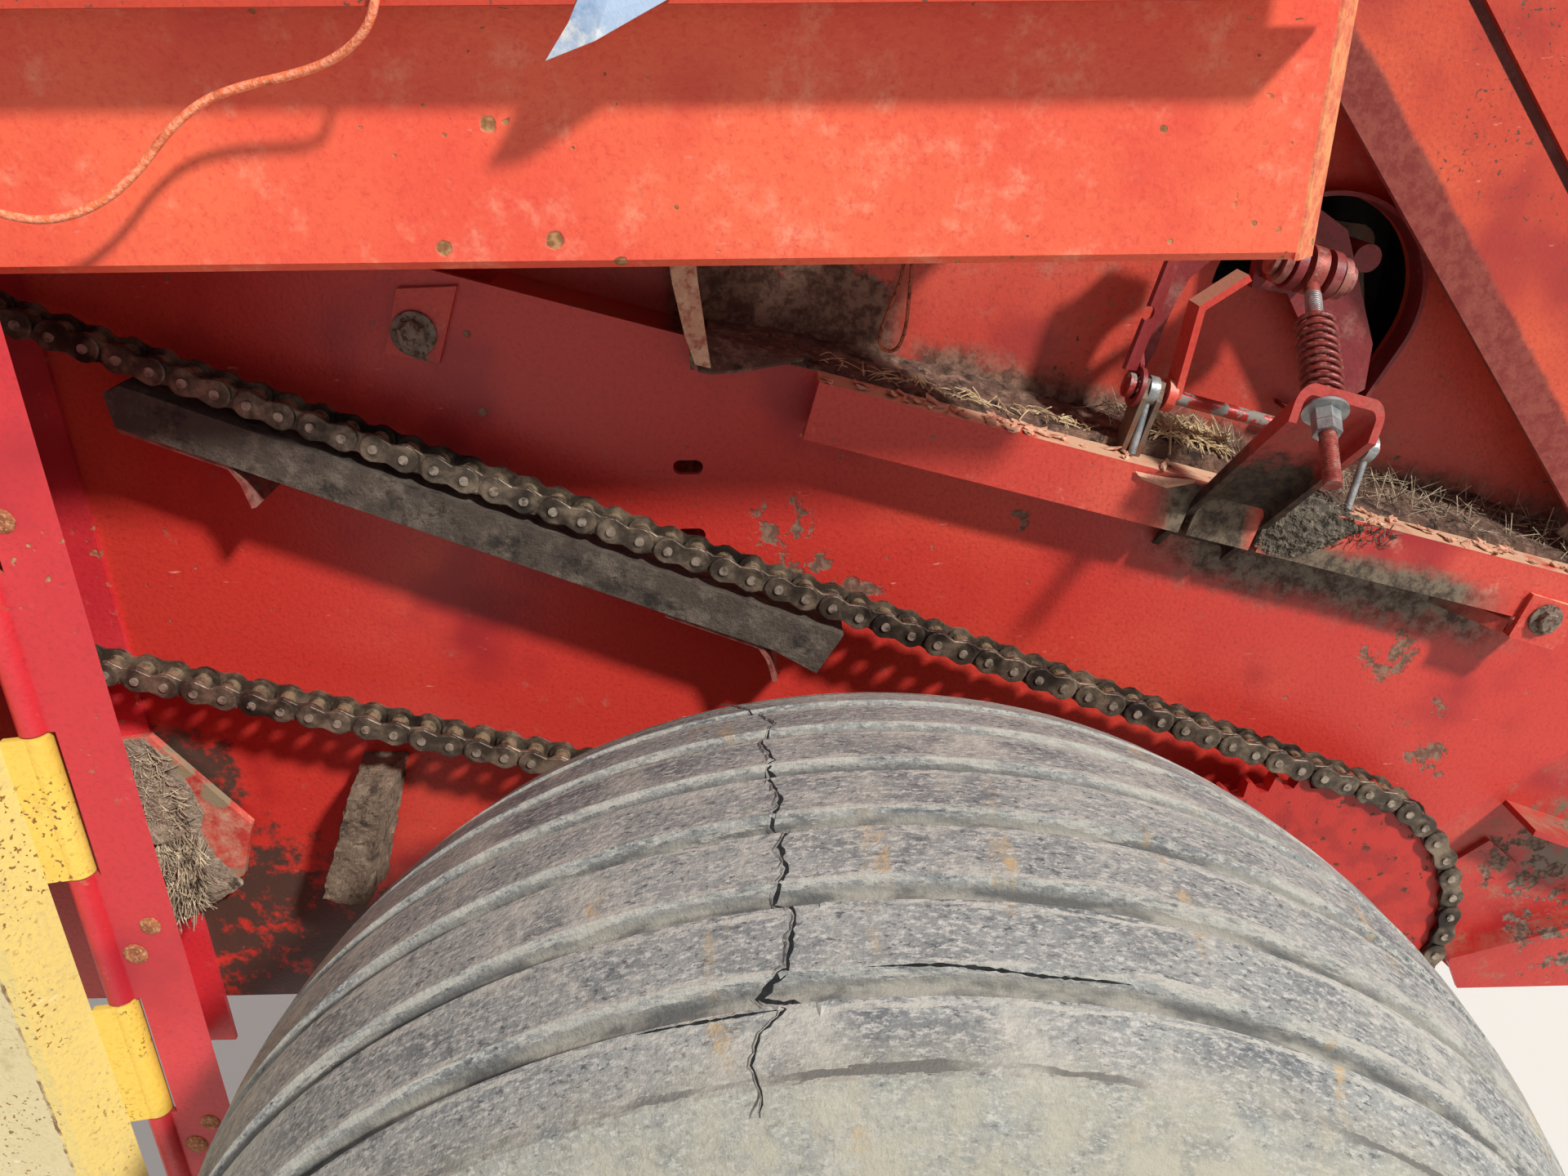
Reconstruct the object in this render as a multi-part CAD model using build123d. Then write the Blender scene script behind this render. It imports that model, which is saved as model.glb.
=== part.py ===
from build123d import *
import os
from math import acos, asin, atan2, cos, pi, radians, sin, tan

# Drive side of a round baler: side sheets with the roller chain drive, guards, doors,
# tensioner, stub axle and wheel. Millimetres. +X points to the rear, +Y inboard, +Z up.
# The origin is on the wheel's axis, at the inboard face of the axle flange.

# Sheets and planes across the machine
sheetThick = 5.0
innerFaceY = -5.0
outerFaceY = -60.0
outerBackY = outerFaceY + sheetThick
frontEndX = -780.0
gap = 0.3

# Line of the ledge rail and of the shelf above the outer sheet, falling to the rear
railAngle = 15.4
railTop = 486.0
railDepth = 30.0
railHeight = 38.0
railThick = 4.0
railStart = -152.0
railEnd = 398.0
shelfStart = -365.0
shelfEnd = 470.0

# Roller chain
pitch = 19.05
chainY = -98.0
plateHalf = 9.0
waistHalf = 6.6
chainWide = 25.4
toothWide = 11.2
plateStack = 6.5
strandStart = (-468.8, 547.2)
strandAngle = 22.07

# Sprockets: name, teeth, centre X, centre Z, side of the loop that it lies on
floorRoll = {"teeth": 44, "x": 333.6, "z": 79.8, "inside": True}
idler = {"teeth": 15, "x": -52.2, "z": 151.2, "inside": False}
starterRoll = {"teeth": 20, "x": -583.7, "z": 409.3, "inside": True}
gearbox = {"teeth": 24, "x": -667.4, "z": 549.0, "inside": True}
loop = [floorRoll, idler, starterRoll, gearbox]
rollerRadius = 6.0
shaftRadius = 20.0
shaftEndRadius = 17.5
shaftEndLong = 40.0
idlerShaftRadius = 9.0
bearingRadius = 52.0
bearingThick = 16.0

# Wheel and axle
tyreRadius = 393.0
crownDrop = 0.0016
tyreMidY = -356.6
treadHalf = 137.0
sectionHalf = 171.5
beadRadius = 190.0
beadHalf = 127.0
grooveFirst = 108.8
grooveStep = 41.5
grooveWide = 13.0
grooveDeep = 7.0
grooveCount = 6
rimThick = 6.0
studCircle = 76.2
studCount = 6
studRadius = 7.0
axleRadius = 32.0
spindleRadius = 25.0
flangeHalf = 100.0
flangeThick = 15.0
flangeCircle = 80.0
flangeHole = 8.5
flangeBolts = 8

# Upper guard panel
panelFaceY = -215.0
panelBottom = 602.0
panelTop = 735.0
panelEndX = 212.0
panelThick = 3.0
panelLip = 28.0
panelFlange = 17.0

# Side shield above the panel
shieldFaceY = -250.0
shieldBottom = 717.0
shieldTop = 1030.0
shieldEndX = 212.0
shieldThick = 3.0
shieldPinY = -58.0
shieldPinZ = 1040.0
shieldPinRadius = 4.0

# Front closure and its door
closureFootX = -542.0
closureFlange = 40.0
closureNoseX = -410.0
closureNoseY = -250.0
closureBottom = -55.0
closureTop = 596.0
closureThick = 4.0
windowLow = 298.0
windowHigh = 592.0
hingeX = -449.0
hingeY = -252.0
hingeRadius = 8.0
hingePinRadius = 3.0
knuckleLow = -15.0
knuckleStep = 95.5
knuckleCount = 6
knuckleGap = 0.6
doorFaceY = -288.0
doorBevelX = -480.0
doorThick = 3.0

# Diagonal post: how far its side leans to the rear between the two sheets
postSlant = 26.0

# Tensioner on the rail, placed in the rail's own frame
bracketLeft = 105.3
bracketWide = 55.7
bracketThick = 5.0
bracketReach = 108.7
bracketSlope = 53.5
bracketFlange = 18.4
flangeCutBack = 16.1
bracketBend = 10.0
cheekSeat = 471.0
rodRadius = 4.75
rodFromWeb = 58.0
rodToEye = 105.0
washerAlong = 95.0
rodA = 128.0

eyePinRadius = 6.0
linkNearY = 14.0
panDeep = 70.0

# Latch beside the tensioner, along the rail
shaftB = 528.0
shaftY = -62.0
latchShaftRadius = 4.6
shaftFrom = 44.0
shaftTo = 224.0
rodLoopFront = 60.7
rodLoopRear = 217.0
barA = 73.0

parts = {}


def box(x0, x1, y0, y1, z0, z1):
    return Pos((x0 + x1) / 2, (y0 + y1) / 2, (z0 + z1) / 2) * Box(x1 - x0, y1 - y0, z1 - z0)


def plateXZ(points, y0, y1):
    # Flat plate with its outline in X and Z, between two planes across the machine
    face = make_face(Polyline(*[(x, 0, z) for x, z in points], close=True))
    return Pos(0, y1, 0) * extrude(face, amount=y1 - y0, dir=(0, -1, 0))


def plateYZ(points, x0, x1):
    # Flat plate or long profile with its outline in Y and Z
    face = make_face(Polyline(*[(0, y, z) for y, z in points], close=True))
    return Pos(x0, 0, 0) * extrude(face, amount=x1 - x0, dir=(1, 0, 0))


def plateXY(points, z0, z1):
    face = make_face(Polyline(*[(x, y, 0) for x, y in points], close=True))
    return Pos(0, 0, z0) * extrude(face, amount=z1 - z0, dir=(0, 0, 1))


def across(x, z, y0, y1, radius):
    # Round bar across the machine
    return Pos(x, (y0 + y1) / 2, z) * Rot(90, 0, 0) * Cylinder(radius, y1 - y0)


def bar(start, end, radius):
    # Round bar between two points
    line = Edge.make_line(start, end)
    plane = Plane(origin=start, z_dir=Vector(*end) - Vector(*start))
    return extrude(plane * Circle(radius), amount=line.length)


def strip(points, thick):
    # Closed outline of a bent sheet: the points are its outer side, the wall lies to their left
    sides = []
    for (ax, ay), (bx, by) in zip(points, points[1:]):
        length = ((bx - ax) ** 2 + (by - ay) ** 2) ** 0.5
        sides.append((-(by - ay) / length, (bx - ax) / length))
    inner = []
    for i, (x, y) in enumerate(points):
        before = sides[max(i - 1, 0)]
        after = sides[min(i, len(sides) - 1)]
        mx, my = before[0] + after[0], before[1] + after[1]
        scale = 2 * thick / (mx * mx + my * my)
        inner.append((x + mx * scale, y + my * scale))
    return list(points) + inner[::-1]


def railPoint(a, b):
    # A place in the rail's frame, a along it and b square to it, as X and Z
    c, s = cos(radians(railAngle)), sin(radians(railAngle))
    return (a * c + b * s, b * c - a * s)


def railPlate(points, a0, a1):
    # Plate or profile square to the rail, its outline in Y and b
    flat = plateYZ(points, a0, a1)
    return Rot(0, railAngle, 0) * flat


def railTopAt(x, height=railTop):
    # Height of the rail line at a place along the machine
    return (height - x * sin(radians(railAngle))) / cos(radians(railAngle))


def strandPoint(s, d):
    # A place beside the upper strand, s along it and d above it, as X and Z
    c, t = cos(radians(strandAngle)), sin(radians(strandAngle))
    return (strandStart[0] + s * c + d * t, strandStart[1] - s * t + d * c)


def pitchRadius(wheel):
    return pitch / (2 * sin(pi / wheel["teeth"]))


def chainPath():
    # Straight runs and arcs round the sprockets, going rearward on top
    runs = []
    for here, there in zip(loop, loop[1:] + loop[:1]):
        dx, dz = there["x"] - here["x"], there["z"] - here["z"]
        r0 = pitchRadius(here) * (1 if here["inside"] else -1)
        r1 = pitchRadius(there) * (1 if there["inside"] else -1)
        span = (dx * dx + dz * dz) ** 0.5
        turn = atan2(dz, dx) + asin((r1 - r0) / span)
        nx, nz = -sin(turn), cos(turn)
        start = (here["x"] + r0 * nx, here["z"] + r0 * nz)
        end = (there["x"] + r1 * nx, there["z"] + r1 * nz)
        runs.append({"start": start, "end": end, "turn": turn})
    return runs


def chainPins():
    # Pins at equal steps round the loop, from the strand's first pin
    runs = chainPath()
    pieces = []
    for i, run in enumerate(runs):
        wheel = loop[(i + 1) % len(loop)]
        length = ((run["end"][0] - run["start"][0]) ** 2 + (run["end"][1] - run["start"][1]) ** 2) ** 0.5
        pieces.append({"kind": "run", "length": length, "run": run})
        after = runs[(i + 1) % len(runs)]["turn"]
        bend = (run["turn"] - after) % (2 * pi)
        if not wheel["inside"]:
            bend = bend - 2 * pi if bend > pi else bend
        radius = pitchRadius(wheel)
        pieces.append({"kind": "arc", "length": abs(bend) * radius, "wheel": wheel,
                       "from": run["turn"], "bend": bend, "radius": radius})
    total = sum(piece["length"] for piece in pieces)
    count = 2 * round(total / pitch / 2)
    top = pieces[-2]["run"]
    offset = total - pieces[-1]["length"] - pieces[-2]["length"]
    offset += (strandStart[0] - top["start"][0]) / cos(top["turn"])
    pins = []
    for i in range(count):
        at = (offset + i * total / count) % total
        for piece in pieces:
            if at <= piece["length"]:
                break
            at -= piece["length"]
        if piece["kind"] == "run":
            turn = piece["run"]["turn"]
            x = piece["run"]["start"][0] + at * cos(turn)
            z = piece["run"]["start"][1] + at * sin(turn)
        else:
            wheel = piece["wheel"]
            share = at / piece["length"]
            turn = piece["from"] - share * piece["bend"]
            side = piece["radius"] if wheel["inside"] else -piece["radius"]
            x = wheel["x"] - side * sin(turn)
            z = wheel["z"] + side * cos(turn)
        pins.append({"x": x, "z": z, "turn": turn})
    return pins


def chainBand(pins, y0, y1, waist):
    # Endless band of link plates, with or without the waist between pins
    rims = []
    for side in (1, -1):
        rim = []
        for here, there in zip(pins, pins[1:] + pins[:1]):
            nx, nz = -sin(here["turn"]), cos(here["turn"])
            rim.append((here["x"] + side * plateHalf * nx, here["z"] + side * plateHalf * nz))
            if waist:
                dx, dz = there["x"] - here["x"], there["z"] - here["z"]
                span = (dx * dx + dz * dz) ** 0.5
                mx, mz = (here["x"] + there["x"]) / 2, (here["z"] + there["z"]) / 2
                rim.append((mx - side * waistHalf * dz / span, mz + side * waistHalf * dx / span))
        rims.append(plateXZ(rim, y0, y1))
    big, small = sorted(rims, key=lambda solid: -solid.volume)
    return big - small


def sprocket(wheel, pins, hubReach, bore):
    # Toothed disc with its hub; a tooth valley lies on the pin nearest to its own arc
    radius = pitchRadius(wheel)
    def offPitch(pin):
        return abs(((pin["x"] - wheel["x"]) ** 2 + (pin["z"] - wheel["z"]) ** 2) ** 0.5 - radius)
    near = min(pins, key=offPitch)
    phase = atan2(near["z"] - wheel["z"], near["x"] - wheel["x"])
    step = 2 * pi / wheel["teeth"]
    root, flank, tip = radius - rollerRadius, radius + 1.0, radius + 5.5
    shape = [(0.16, root), (0.34, flank), (0.44, tip), (0.56, tip), (0.66, flank), (0.84, root)]
    outline = []
    for i in range(wheel["teeth"]):
        for share, r in shape:
            angle = phase + (i + share) * step
            outline.append((wheel["x"] + r * cos(angle), wheel["z"] + r * sin(angle)))
    disc = plateXZ(outline, chainY - toothWide / 2, chainY + toothWide / 2)
    hub = across(wheel["x"], wheel["z"], chainY - hubReach, chainY + hubReach, bore + 14)
    return disc + hub - across(wheel["x"], wheel["z"], chainY - 60, chainY + 60, bore + gap)


def flangeBearing(wheel, bore):
    # Cast three-bolt flange bearing on the outer sheet
    face = outerFaceY - bearingThick
    body = across(wheel["x"], wheel["z"], face, outerFaceY, bearingRadius * 0.72)
    for angle in (60, 180, 300):
        lx = wheel["x"] + (bearingRadius - 12) * cos(radians(angle))
        lz = wheel["z"] + (bearingRadius - 12) * sin(radians(angle))
        body += across(lx, lz, outerFaceY - bearingThick / 2, outerFaceY, 13)
    return body - across(wheel["x"], wheel["z"], face - 1, outerFaceY + 1, bore + gap)


# Outer drive sheet
def buildSideSheet():
    top = [(frontEndX, 700), (-400, 700)]
    slope = [(-380, railTopAt(-380)), (600, railTopAt(600))]
    rear = [(600, 240), (557, 205), (473, 137), (440, 112), (432, 40), (395, -6), (333, -22), (270, -10)]
    front = [(frontEndX, -10)]
    sheet = plateXZ(top + slope + rear + front, outerFaceY, outerBackY)
    for slotZ in (444, 395):
        slot = plateXZ([(-108, slotZ - 5), (-98, slotZ - 5), (-98, slotZ + 5), (-108, slotZ + 5)],
                       outerFaceY - 1, outerBackY + 1)
        for slotX in (-108, -98):
            slot += across(slotX, slotZ, outerFaceY - 1, outerBackY + 1, 5)
        sheet -= slot
    sheet -= across(0, 0, outerFaceY - 1, outerBackY + 1, axleRadius + 8)
    sheet -= box(-axleRadius - 8, axleRadius + 8, outerFaceY - 1, outerBackY + 1, -30, 0)
    for wheel in (floorRoll, starterRoll, gearbox):
        sheet -= across(wheel["x"], wheel["z"], outerFaceY - 1, outerBackY + 1, shaftRadius + gap)
    return sheet


# Inner side sheet with the teardrop opening
openX, openZ, openRadius = 318.0, 540.0, 68.0
openTip = (350.0, 450.0)
openCorner = [(220, 549), (298, 551), (318, 520), (352, 440), (220, 440)]


def tangentPoints():
    # Where the two sides of the teardrop leave the circle
    dx, dz = openTip[0] - openX, openTip[1] - openZ
    span = (dx * dx + dz * dz) ** 0.5
    base = atan2(dz, dx)
    half = acos(openRadius / span)
    return [base - half, base + half]


def teardrop(radius, y0, y1):
    low, high = tangentPoints()
    grow = radius / openRadius
    tip = (openX + (openTip[0] - openX) * grow, openZ + (openTip[1] - openZ) * grow)
    left = (openX + radius * cos(low), openZ + radius * sin(low))
    right = (openX + radius * cos(high), openZ + radius * sin(high))
    return across(openX, openZ, y0, y1, radius) + plateXZ([left, tip, right, (openX, openZ)], y0, y1)


def buildInnerSheet():
    outline = [(frontEndX, 600), (-420, 600), (-300, 330), (560, 300), (700, 300), (700, 760), (300, 1040),
               (frontEndX, 1040)]
    sheet = plateXZ(outline, innerFaceY, innerFaceY + sheetThick)
    opening = teardrop(openRadius, innerFaceY - 1, innerFaceY + sheetThick + 1)
    return sheet - (opening - plateXZ(openCorner, innerFaceY - 2, innerFaceY + sheetThick + 2))


parts["side_sheet"] = buildSideSheet()
parts["inner_sheet"] = buildInnerSheet()
parts["opening_rim"] = (teardrop(openRadius + 3, innerFaceY - 18, innerFaceY)
                        - teardrop(openRadius, innerFaceY - 19, innerFaceY + 1)
                        - box(200, openX - 10, innerFaceY - 30, innerFaceY + 5, 400, 700))

# Shelf between the sheets and the ledge rail outside it
parts["shelf"] = railPlate([(outerBackY, railTop - 6), (innerFaceY, railTop - 6), (innerFaceY, railTop - 2),
                            (outerBackY, railTop - 2)], shelfStart, shelfEnd)
railOut = outerFaceY - railDepth
ledge = railPlate(strip([(outerFaceY, railTop), (railOut, railTop), (railOut, railTop - railHeight),
                                       (railOut + 14, railTop - railHeight)], railThick), railStart, railEnd)
for a in (bracketLeft, bracketLeft + bracketWide - bracketThick):
    ledge -= railPlate([(railOut - 1, 0), (railOut + 18, 0), (railOut + 18, cheekSeat + gap),
                        (railOut - 1, cheekSeat + gap)], a - gap, a + bracketThick + gap)
parts["ledge_rail"] = ledge

# Sill beam behind the outer sheet's foot, notched round the axle
beamFrontY = outerBackY
beamBackY = -flangeThick
sill = box(-536, 290, beamFrontY, beamBackY, -5, 75) - box(-540, 294, beamFrontY + 5, beamBackY - 5, 0, 70)
parts["sill_beam"] = sill - across(0, 0, beamFrontY - 1, beamBackY + 1, axleRadius + gap)

# Axle flange, stub axle and hub
flange = box(-flangeHalf, flangeHalf, -flangeThick, 0, -flangeHalf, flangeHalf)
for i in range(flangeBolts):
    angle = 2 * pi * (i + 0.5) / flangeBolts
    flange -= across(flangeCircle * cos(angle), flangeCircle * sin(angle), -flangeThick - 1, 1, flangeHole)
axle = flange + across(0, 0, -205, -flangeThick, axleRadius) + across(0, 0, -400, -205, spindleRadius)
parts["stub_axle"] = axle

discY = tyreMidY + 20


def revolveY(points):
    # Solid of revolution about the wheel's axis, its points as Y and radius
    face = make_face(Polyline(*[(r, y, 0) for y, r in points], close=True))
    return revolve(face, Axis.Y, 360)


parts["hub"] = revolveY([(-232, spindleRadius + gap), (-232, 58), (discY + 12, 58), (discY + 12, 100),
                         (discY, 100), (discY, 48), (-395, 42), (-395, spindleRadius + gap)])
parts["hub_cap"] = revolveY([(-395 - gap, 40), (-405, 40), (-418, 32), (-424, 15), (-424, 0), (-420, 0),
                             (-420, 14), (-415, 29), (-403, 36), (-395 - gap, 36)])


def wheelRim():
    mid = tyreMidY
    barrel = [(-beadHalf - 6, 207), (-beadHalf, 207), (-beadHalf + 2, 189), (-beadHalf + 30, 186),
              (-beadHalf + 45, 168), (beadHalf - 45, 168), (beadHalf - 30, 186), (beadHalf - 2, 189),
              (beadHalf, 207), (beadHalf + 6, 207)]
    inner = [(y, r - rimThick) for y, r in barrel]
    shell = revolveY([(mid + y, r) for y, r in barrel] + [(mid + y, r) for y, r in inner[::-1]])
    dish = [(discY - gap, 49), (discY - gap, 112), (discY - 22, 132), (discY - 22, 162.5),
            (discY - 30, 162.5), (discY - 30, 128), (discY - 8, 108), (discY - 8, 49)]
    wheel = shell + revolveY(dish)
    for i in range(studCount):
        angle = 2 * pi * i / studCount
        wheel -= across(studCircle * cos(angle), studCircle * sin(angle), discY - 40, discY + 5,
                        studRadius + 1)
    return wheel


parts["rim"] = wheelRim()
studs = []
for i in range(studCount):
    angle = 2 * pi * i / studCount
    x, z = studCircle * cos(angle), studCircle * sin(angle)
    stud = across(x, z, discY - 30, discY - gap, studRadius)
    stud += Pos(x, discY - 8 - gap, z) * Rot(90, 0, 0) * extrude(RegularPolygon(12, 6), amount=12)
    studs.append(stud)
parts["wheel_nuts"] = Compound(studs)


def tyreProfile():
    # Crowned tread with round grooves, shoulders, sidewalls and beads
    def crown(y):
        return tyreRadius - crownDrop * y * y
    tread = [(-treadHalf, crown(treadHalf))]
    for i in range(grooveCount):
        low = -grooveFirst + i * grooveStep
        high = low + grooveWide
        for y, drop in ((low, 0), (low + 3, grooveDeep), (high - 4, grooveDeep), (high, 0)):
            tread.append((y, crown(y) - drop))
    tread.append((treadHalf, crown(treadHalf)))
    side = [(treadHalf + 16, 340), (sectionHalf, 300), (sectionHalf - 6, 258), (beadHalf + 14, 214),
            (beadHalf - gap, 208), (beadHalf - 4, beadRadius + 1)]
    left = [(-y, r) for y, r in side[::-1]]
    return [(tyreMidY + y, r) for y, r in left + tread + side]


parts["tyre"] = revolveY(tyreProfile())

# Chain and sprockets
pins = chainPins()
outboard = chainBand(pins, chainY - chainWide / 2, chainY - chainWide / 2 + plateStack, True)
inboard = chainBand(pins, chainY + chainWide / 2 - plateStack, chainY + chainWide / 2, False)
parts["drive_chain"] = Compound([outboard, inboard])
parts["floor_roll_sprocket"] = sprocket(floorRoll, pins, 16, shaftRadius)
parts["starter_roll_sprocket"] = sprocket(starterRoll, pins, 16, shaftRadius)
parts["gearbox_sprocket"] = sprocket(gearbox, pins, 16, shaftRadius)
parts["idler_sprocket"] = sprocket(idler, pins, 9, idlerShaftRadius)
shafts = []
shoulderY = innerFaceY - shaftEndLong
for wheel, reach in ((floorRoll, 30), (starterRoll, 30), (gearbox, 22)):
    shaft = across(wheel["x"], wheel["z"], chainY - reach, shoulderY, shaftRadius)
    shafts.append(shaft + across(wheel["x"], wheel["z"], shoulderY, innerFaceY, shaftEndRadius))
parts["roll_shafts"] = Compound(shafts)
parts["flange_bearings"] = Compound([flangeBearing(w, shaftRadius) for w in (floorRoll, starterRoll,
                                                                             gearbox)])

# Idler arm on the outer sheet
armPivot = (-160.0, 118.0)
armBack = outerFaceY - 6
arm = plateXZ([(armPivot[0] - 16, armPivot[1] - 10), (armPivot[0] - 8, armPivot[1] + 16),
               (idler["x"] - 4, idler["z"] + 16), (idler["x"] + 16, idler["z"]), (idler["x"] - 2,
                                                                                  idler["z"] - 16),
               (armPivot[0] + 6, armPivot[1] - 16)], armBack - 10, armBack)
arm += across(armPivot[0], armPivot[1], armBack - 16, outerFaceY, 12)
arm += across(idler["x"], idler["z"], chainY - 14, armBack, idlerShaftRadius)
parts["idler_arm"] = arm

# Chain guide under the upper strand, on two sheet clips
guideDrop = 14.0
guideThick = 27.0
guideFront, guideRear = 34.0, 510.0
guideLow = -guideDrop - guideThick
guide = [(guideFront + 8, -guideDrop), (guideRear, -guideDrop), (guideRear - 6, guideLow - 6),
         (guideRear - 40, guideLow), (guideFront + 10, guideLow), (guideFront, -guideDrop - 8)]
parts["chain_guide"] = plateXZ([strandPoint(*spot) for spot in guide], chainY - 13, chainY + 13)
clips = []
for clipStart, clipEnd in ((45, 130), (395, 480)):
    under = guideLow - gap
    foot = strip([strandPoint(clipEnd + 2, under - 22), strandPoint(clipEnd - 8, under - 8),
                  strandPoint(clipEnd - 18, under), strandPoint(clipStart, under)], 3)
    clips.append(plateXZ(foot, chainY - 11, outerFaceY))
parts["guide_clips"] = Compound(clips)

# Upper guard panel: face, rolled bottom lip, top lip and the bent flange at its rear end
panelPath = [(panelFaceY + 50, panelTop), (panelFaceY, panelTop), (panelFaceY, panelBottom + 4),
             (panelFaceY + 4, panelBottom), (panelFaceY + panelLip, panelBottom)]
panelOutline = strip(panelPath, panelThick)
panel = plateYZ(panelOutline, frontEndX, panelEndX)
bend = panelFlange / 2 ** 0.5
panel += plateXY(strip([(panelEndX + bend, panelFaceY + bend), (panelEndX, panelFaceY),
                        (panelEndX - 2, panelFaceY)][::-1], panelThick), panelBottom, panelTop)
parts["guard_panel"] = panel
arms = []
armTop = panelTop - panelThick - gap
for armX, foot in ((-600, 700 + gap), (-98, railTopAt(-98) + gap), (120, 620)):
    outline = [(panelFaceY + panelThick, 690), (-88, max(640, foot - 16))]
    if foot != 620:
        outline += [(-88, max(560, foot - 18)), (outerFaceY - 14, foot - 18), (outerFaceY - gap, foot - 18),
                    (outerFaceY - gap, foot)]
    outline += [(innerFaceY, foot), (innerFaceY, armTop), (panelFaceY + panelThick, armTop)]
    arms.append(plateYZ(outline, armX, armX + 4))
parts["panel_brackets"] = Compound(arms)

# Side shield with its hinge along the top
shieldProfile = strip([(shieldFaceY + 24, shieldBottom), (shieldFaceY, shieldBottom), (shieldFaceY + 2, 900),
                       (shieldFaceY + 22, 965), (shieldFaceY + 66, 1012), (shieldFaceY + 120, shieldTop),
                       (shieldPinY - 14, shieldTop + 8)][::-1], shieldThick)
shield = plateYZ(shieldProfile, frontEndX, shieldEndX)
hingeSpots = (-640.0, -260.0, 120.0)
for x in hingeSpots:
    leaf = bar((x, shieldPinY, shieldPinZ), (x + 30, shieldPinY, shieldPinZ), 9)
    leaf += box(x, x + 30, shieldPinY - 18, shieldPinY - 4, shieldTop + 5, shieldTop + 11)
    shield += leaf - bar((x - 1, shieldPinY, shieldPinZ), (x + 31, shieldPinY, shieldPinZ),
                         shieldPinRadius + gap)
parts["side_shield"] = shield

# Baler twine snagged on the side shield: the route of its middle line, with a knot at each end
twineRadius = 2.0
knotRadius = 5.0
knotHigh = 9.0
twineRoute = [(-207, -255, 733), (-210, -255, 719), (-218, -251.5, 706), (-236, -245, 695.5), (-257, -241, 690),
              (-277, -239, 686.5), (-297, -238.5, 680.5), (-315, -238.5, 668), (-330, -239, 652.5),
              (-346, -240, 640.5), (-363, -241, 633), (-381, -241.5, 630.5), (-399, -242, 635),
              (-416, -243.5, 643), (-432, -246, 655), (-445, -249.5, 671), (-454, -253, 691),
              (-459, -255, 712), (-461, -255.5, 733)]


def cordTube(route, radius):
    radii = []
    for before, corner, after in zip(route, route[1:], route[2:]):
        runIn = Vector(*corner) - Vector(*before)
        runOut = Vector(*after) - Vector(*corner)
        turn = radians(runIn.get_angle(runOut))
        radii.append(0.45 * min(runIn.length, runOut.length) / tan(turn / 2))
    print("tightest bends of the twine", sorted(round(r) for r in radii)[:3])
    path = FilletPolyline(*route, radius=radii)
    start = Plane(origin=route[0], z_dir=Vector(*route[1]) - Vector(*route[0]))
    return sweep(start * Circle(radius), path=path)


parts["twine"] = cordTube(twineRoute, twineRadius)
knots = []
for x, y, z in (twineRoute[0], twineRoute[-1]):
    middle = shieldFaceY - knotRadius
    knots.append(bar((x, middle, z + 2 * gap), (x, middle, z + knotHigh), knotRadius))
parts["twine_knots"] = Compound(knots)

# Rail that carries the shield's hinge
topRail = plateYZ(strip([(innerFaceY, 1046), (innerFaceY - 36, 1046), (innerFaceY - 36, 990),
                         (innerFaceY, 990)], 4),
                  frontEndX, 280)
ears = []
for x in hingeSpots:
    for earX in (x - 8.6, x + 30.6):
        topRail += plateYZ([(innerFaceY - 36, 1024), (shieldPinY - 7, 1034), (shieldPinY - 7, 1048),
                            (innerFaceY - 36, 1046)], earX, earX + 8)
    ears.append(bar((x - 12, shieldPinY, shieldPinZ), (x + 42, shieldPinY, shieldPinZ), shieldPinRadius))
for pin in ears:
    topRail += pin
parts["top_rail"] = topRail

# Front closure: slanted sheet with chain windows, its foot flange and the hinge side
closure = plateXY(strip([(closureFootX + closureFlange, outerFaceY), (closureFootX, outerFaceY),
                         (closureNoseX, closureNoseY), (closureNoseX - 27, closureNoseY)], closureThick),
                  closureBottom, closureTop)
closure -= box(closureFootX - 30, closureFootX + 80, chainY - 30, chainY + 28, windowLow, windowHigh)
parts["front_closure"] = closure
fixedKnuckles = []
movingKnuckles = []
for i in range(knuckleCount):
    low = knuckleLow + i * knuckleStep + knuckleGap
    high = knuckleLow + (i + 1) * knuckleStep - knuckleGap
    roll = bar((hingeX, hingeY, low), (hingeX, hingeY, high), hingeRadius)
    if i % 2 == 0:
        roll += box(hingeX, closureNoseX - 27, hingeY - 2, hingeY + 2, low, high)
        roll -= bar((hingeX, hingeY, low - 1), (hingeX, hingeY, high + 1), hingePinRadius)
        fixedKnuckles.append(roll)
    else:
        roll += plateXY([(hingeX - 2, hingeY - hingeRadius), (hingeX - 2, hingeY - hingeRadius + 4),
                         (hingeX - 14, hingeY - hingeRadius + 2), (hingeX - 14,
                                                                   hingeY - hingeRadius - 2)], low, high)
        roll -= bar((hingeX, hingeY, low - 1), (hingeX, hingeY, high + 1), hingePinRadius + gap)
        movingKnuckles.append(roll)
hingePin = bar((hingeX, hingeY, knuckleLow - 6), (hingeX, hingeY,
                                                  knuckleLow + knuckleCount * knuckleStep + 6),
               hingePinRadius)
parts["fixed_knuckles"] = Compound(fixedKnuckles)
parts["hinge_pin"] = hingePin
doorEdge = (hingeX - 14, hingeY - hingeRadius - 2)
doorOutline = strip([(frontEndX, closureNoseY), (frontEndX, doorFaceY), (doorBevelX, doorFaceY),
                     doorEdge], doorThick)
parts["front_door"] = plateXY(doorOutline, closureBottom, closureTop - 36)
parts["door_knuckles"] = Compound(movingKnuckles)
parts["door_jamb"] = plateXY(strip([(frontEndX + 30, closureNoseY + 8), (frontEndX + 4, closureNoseY + 8),
                                    (frontEndX + 4, outerFaceY)], 4), closureBottom + 48, closureTop)

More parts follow.
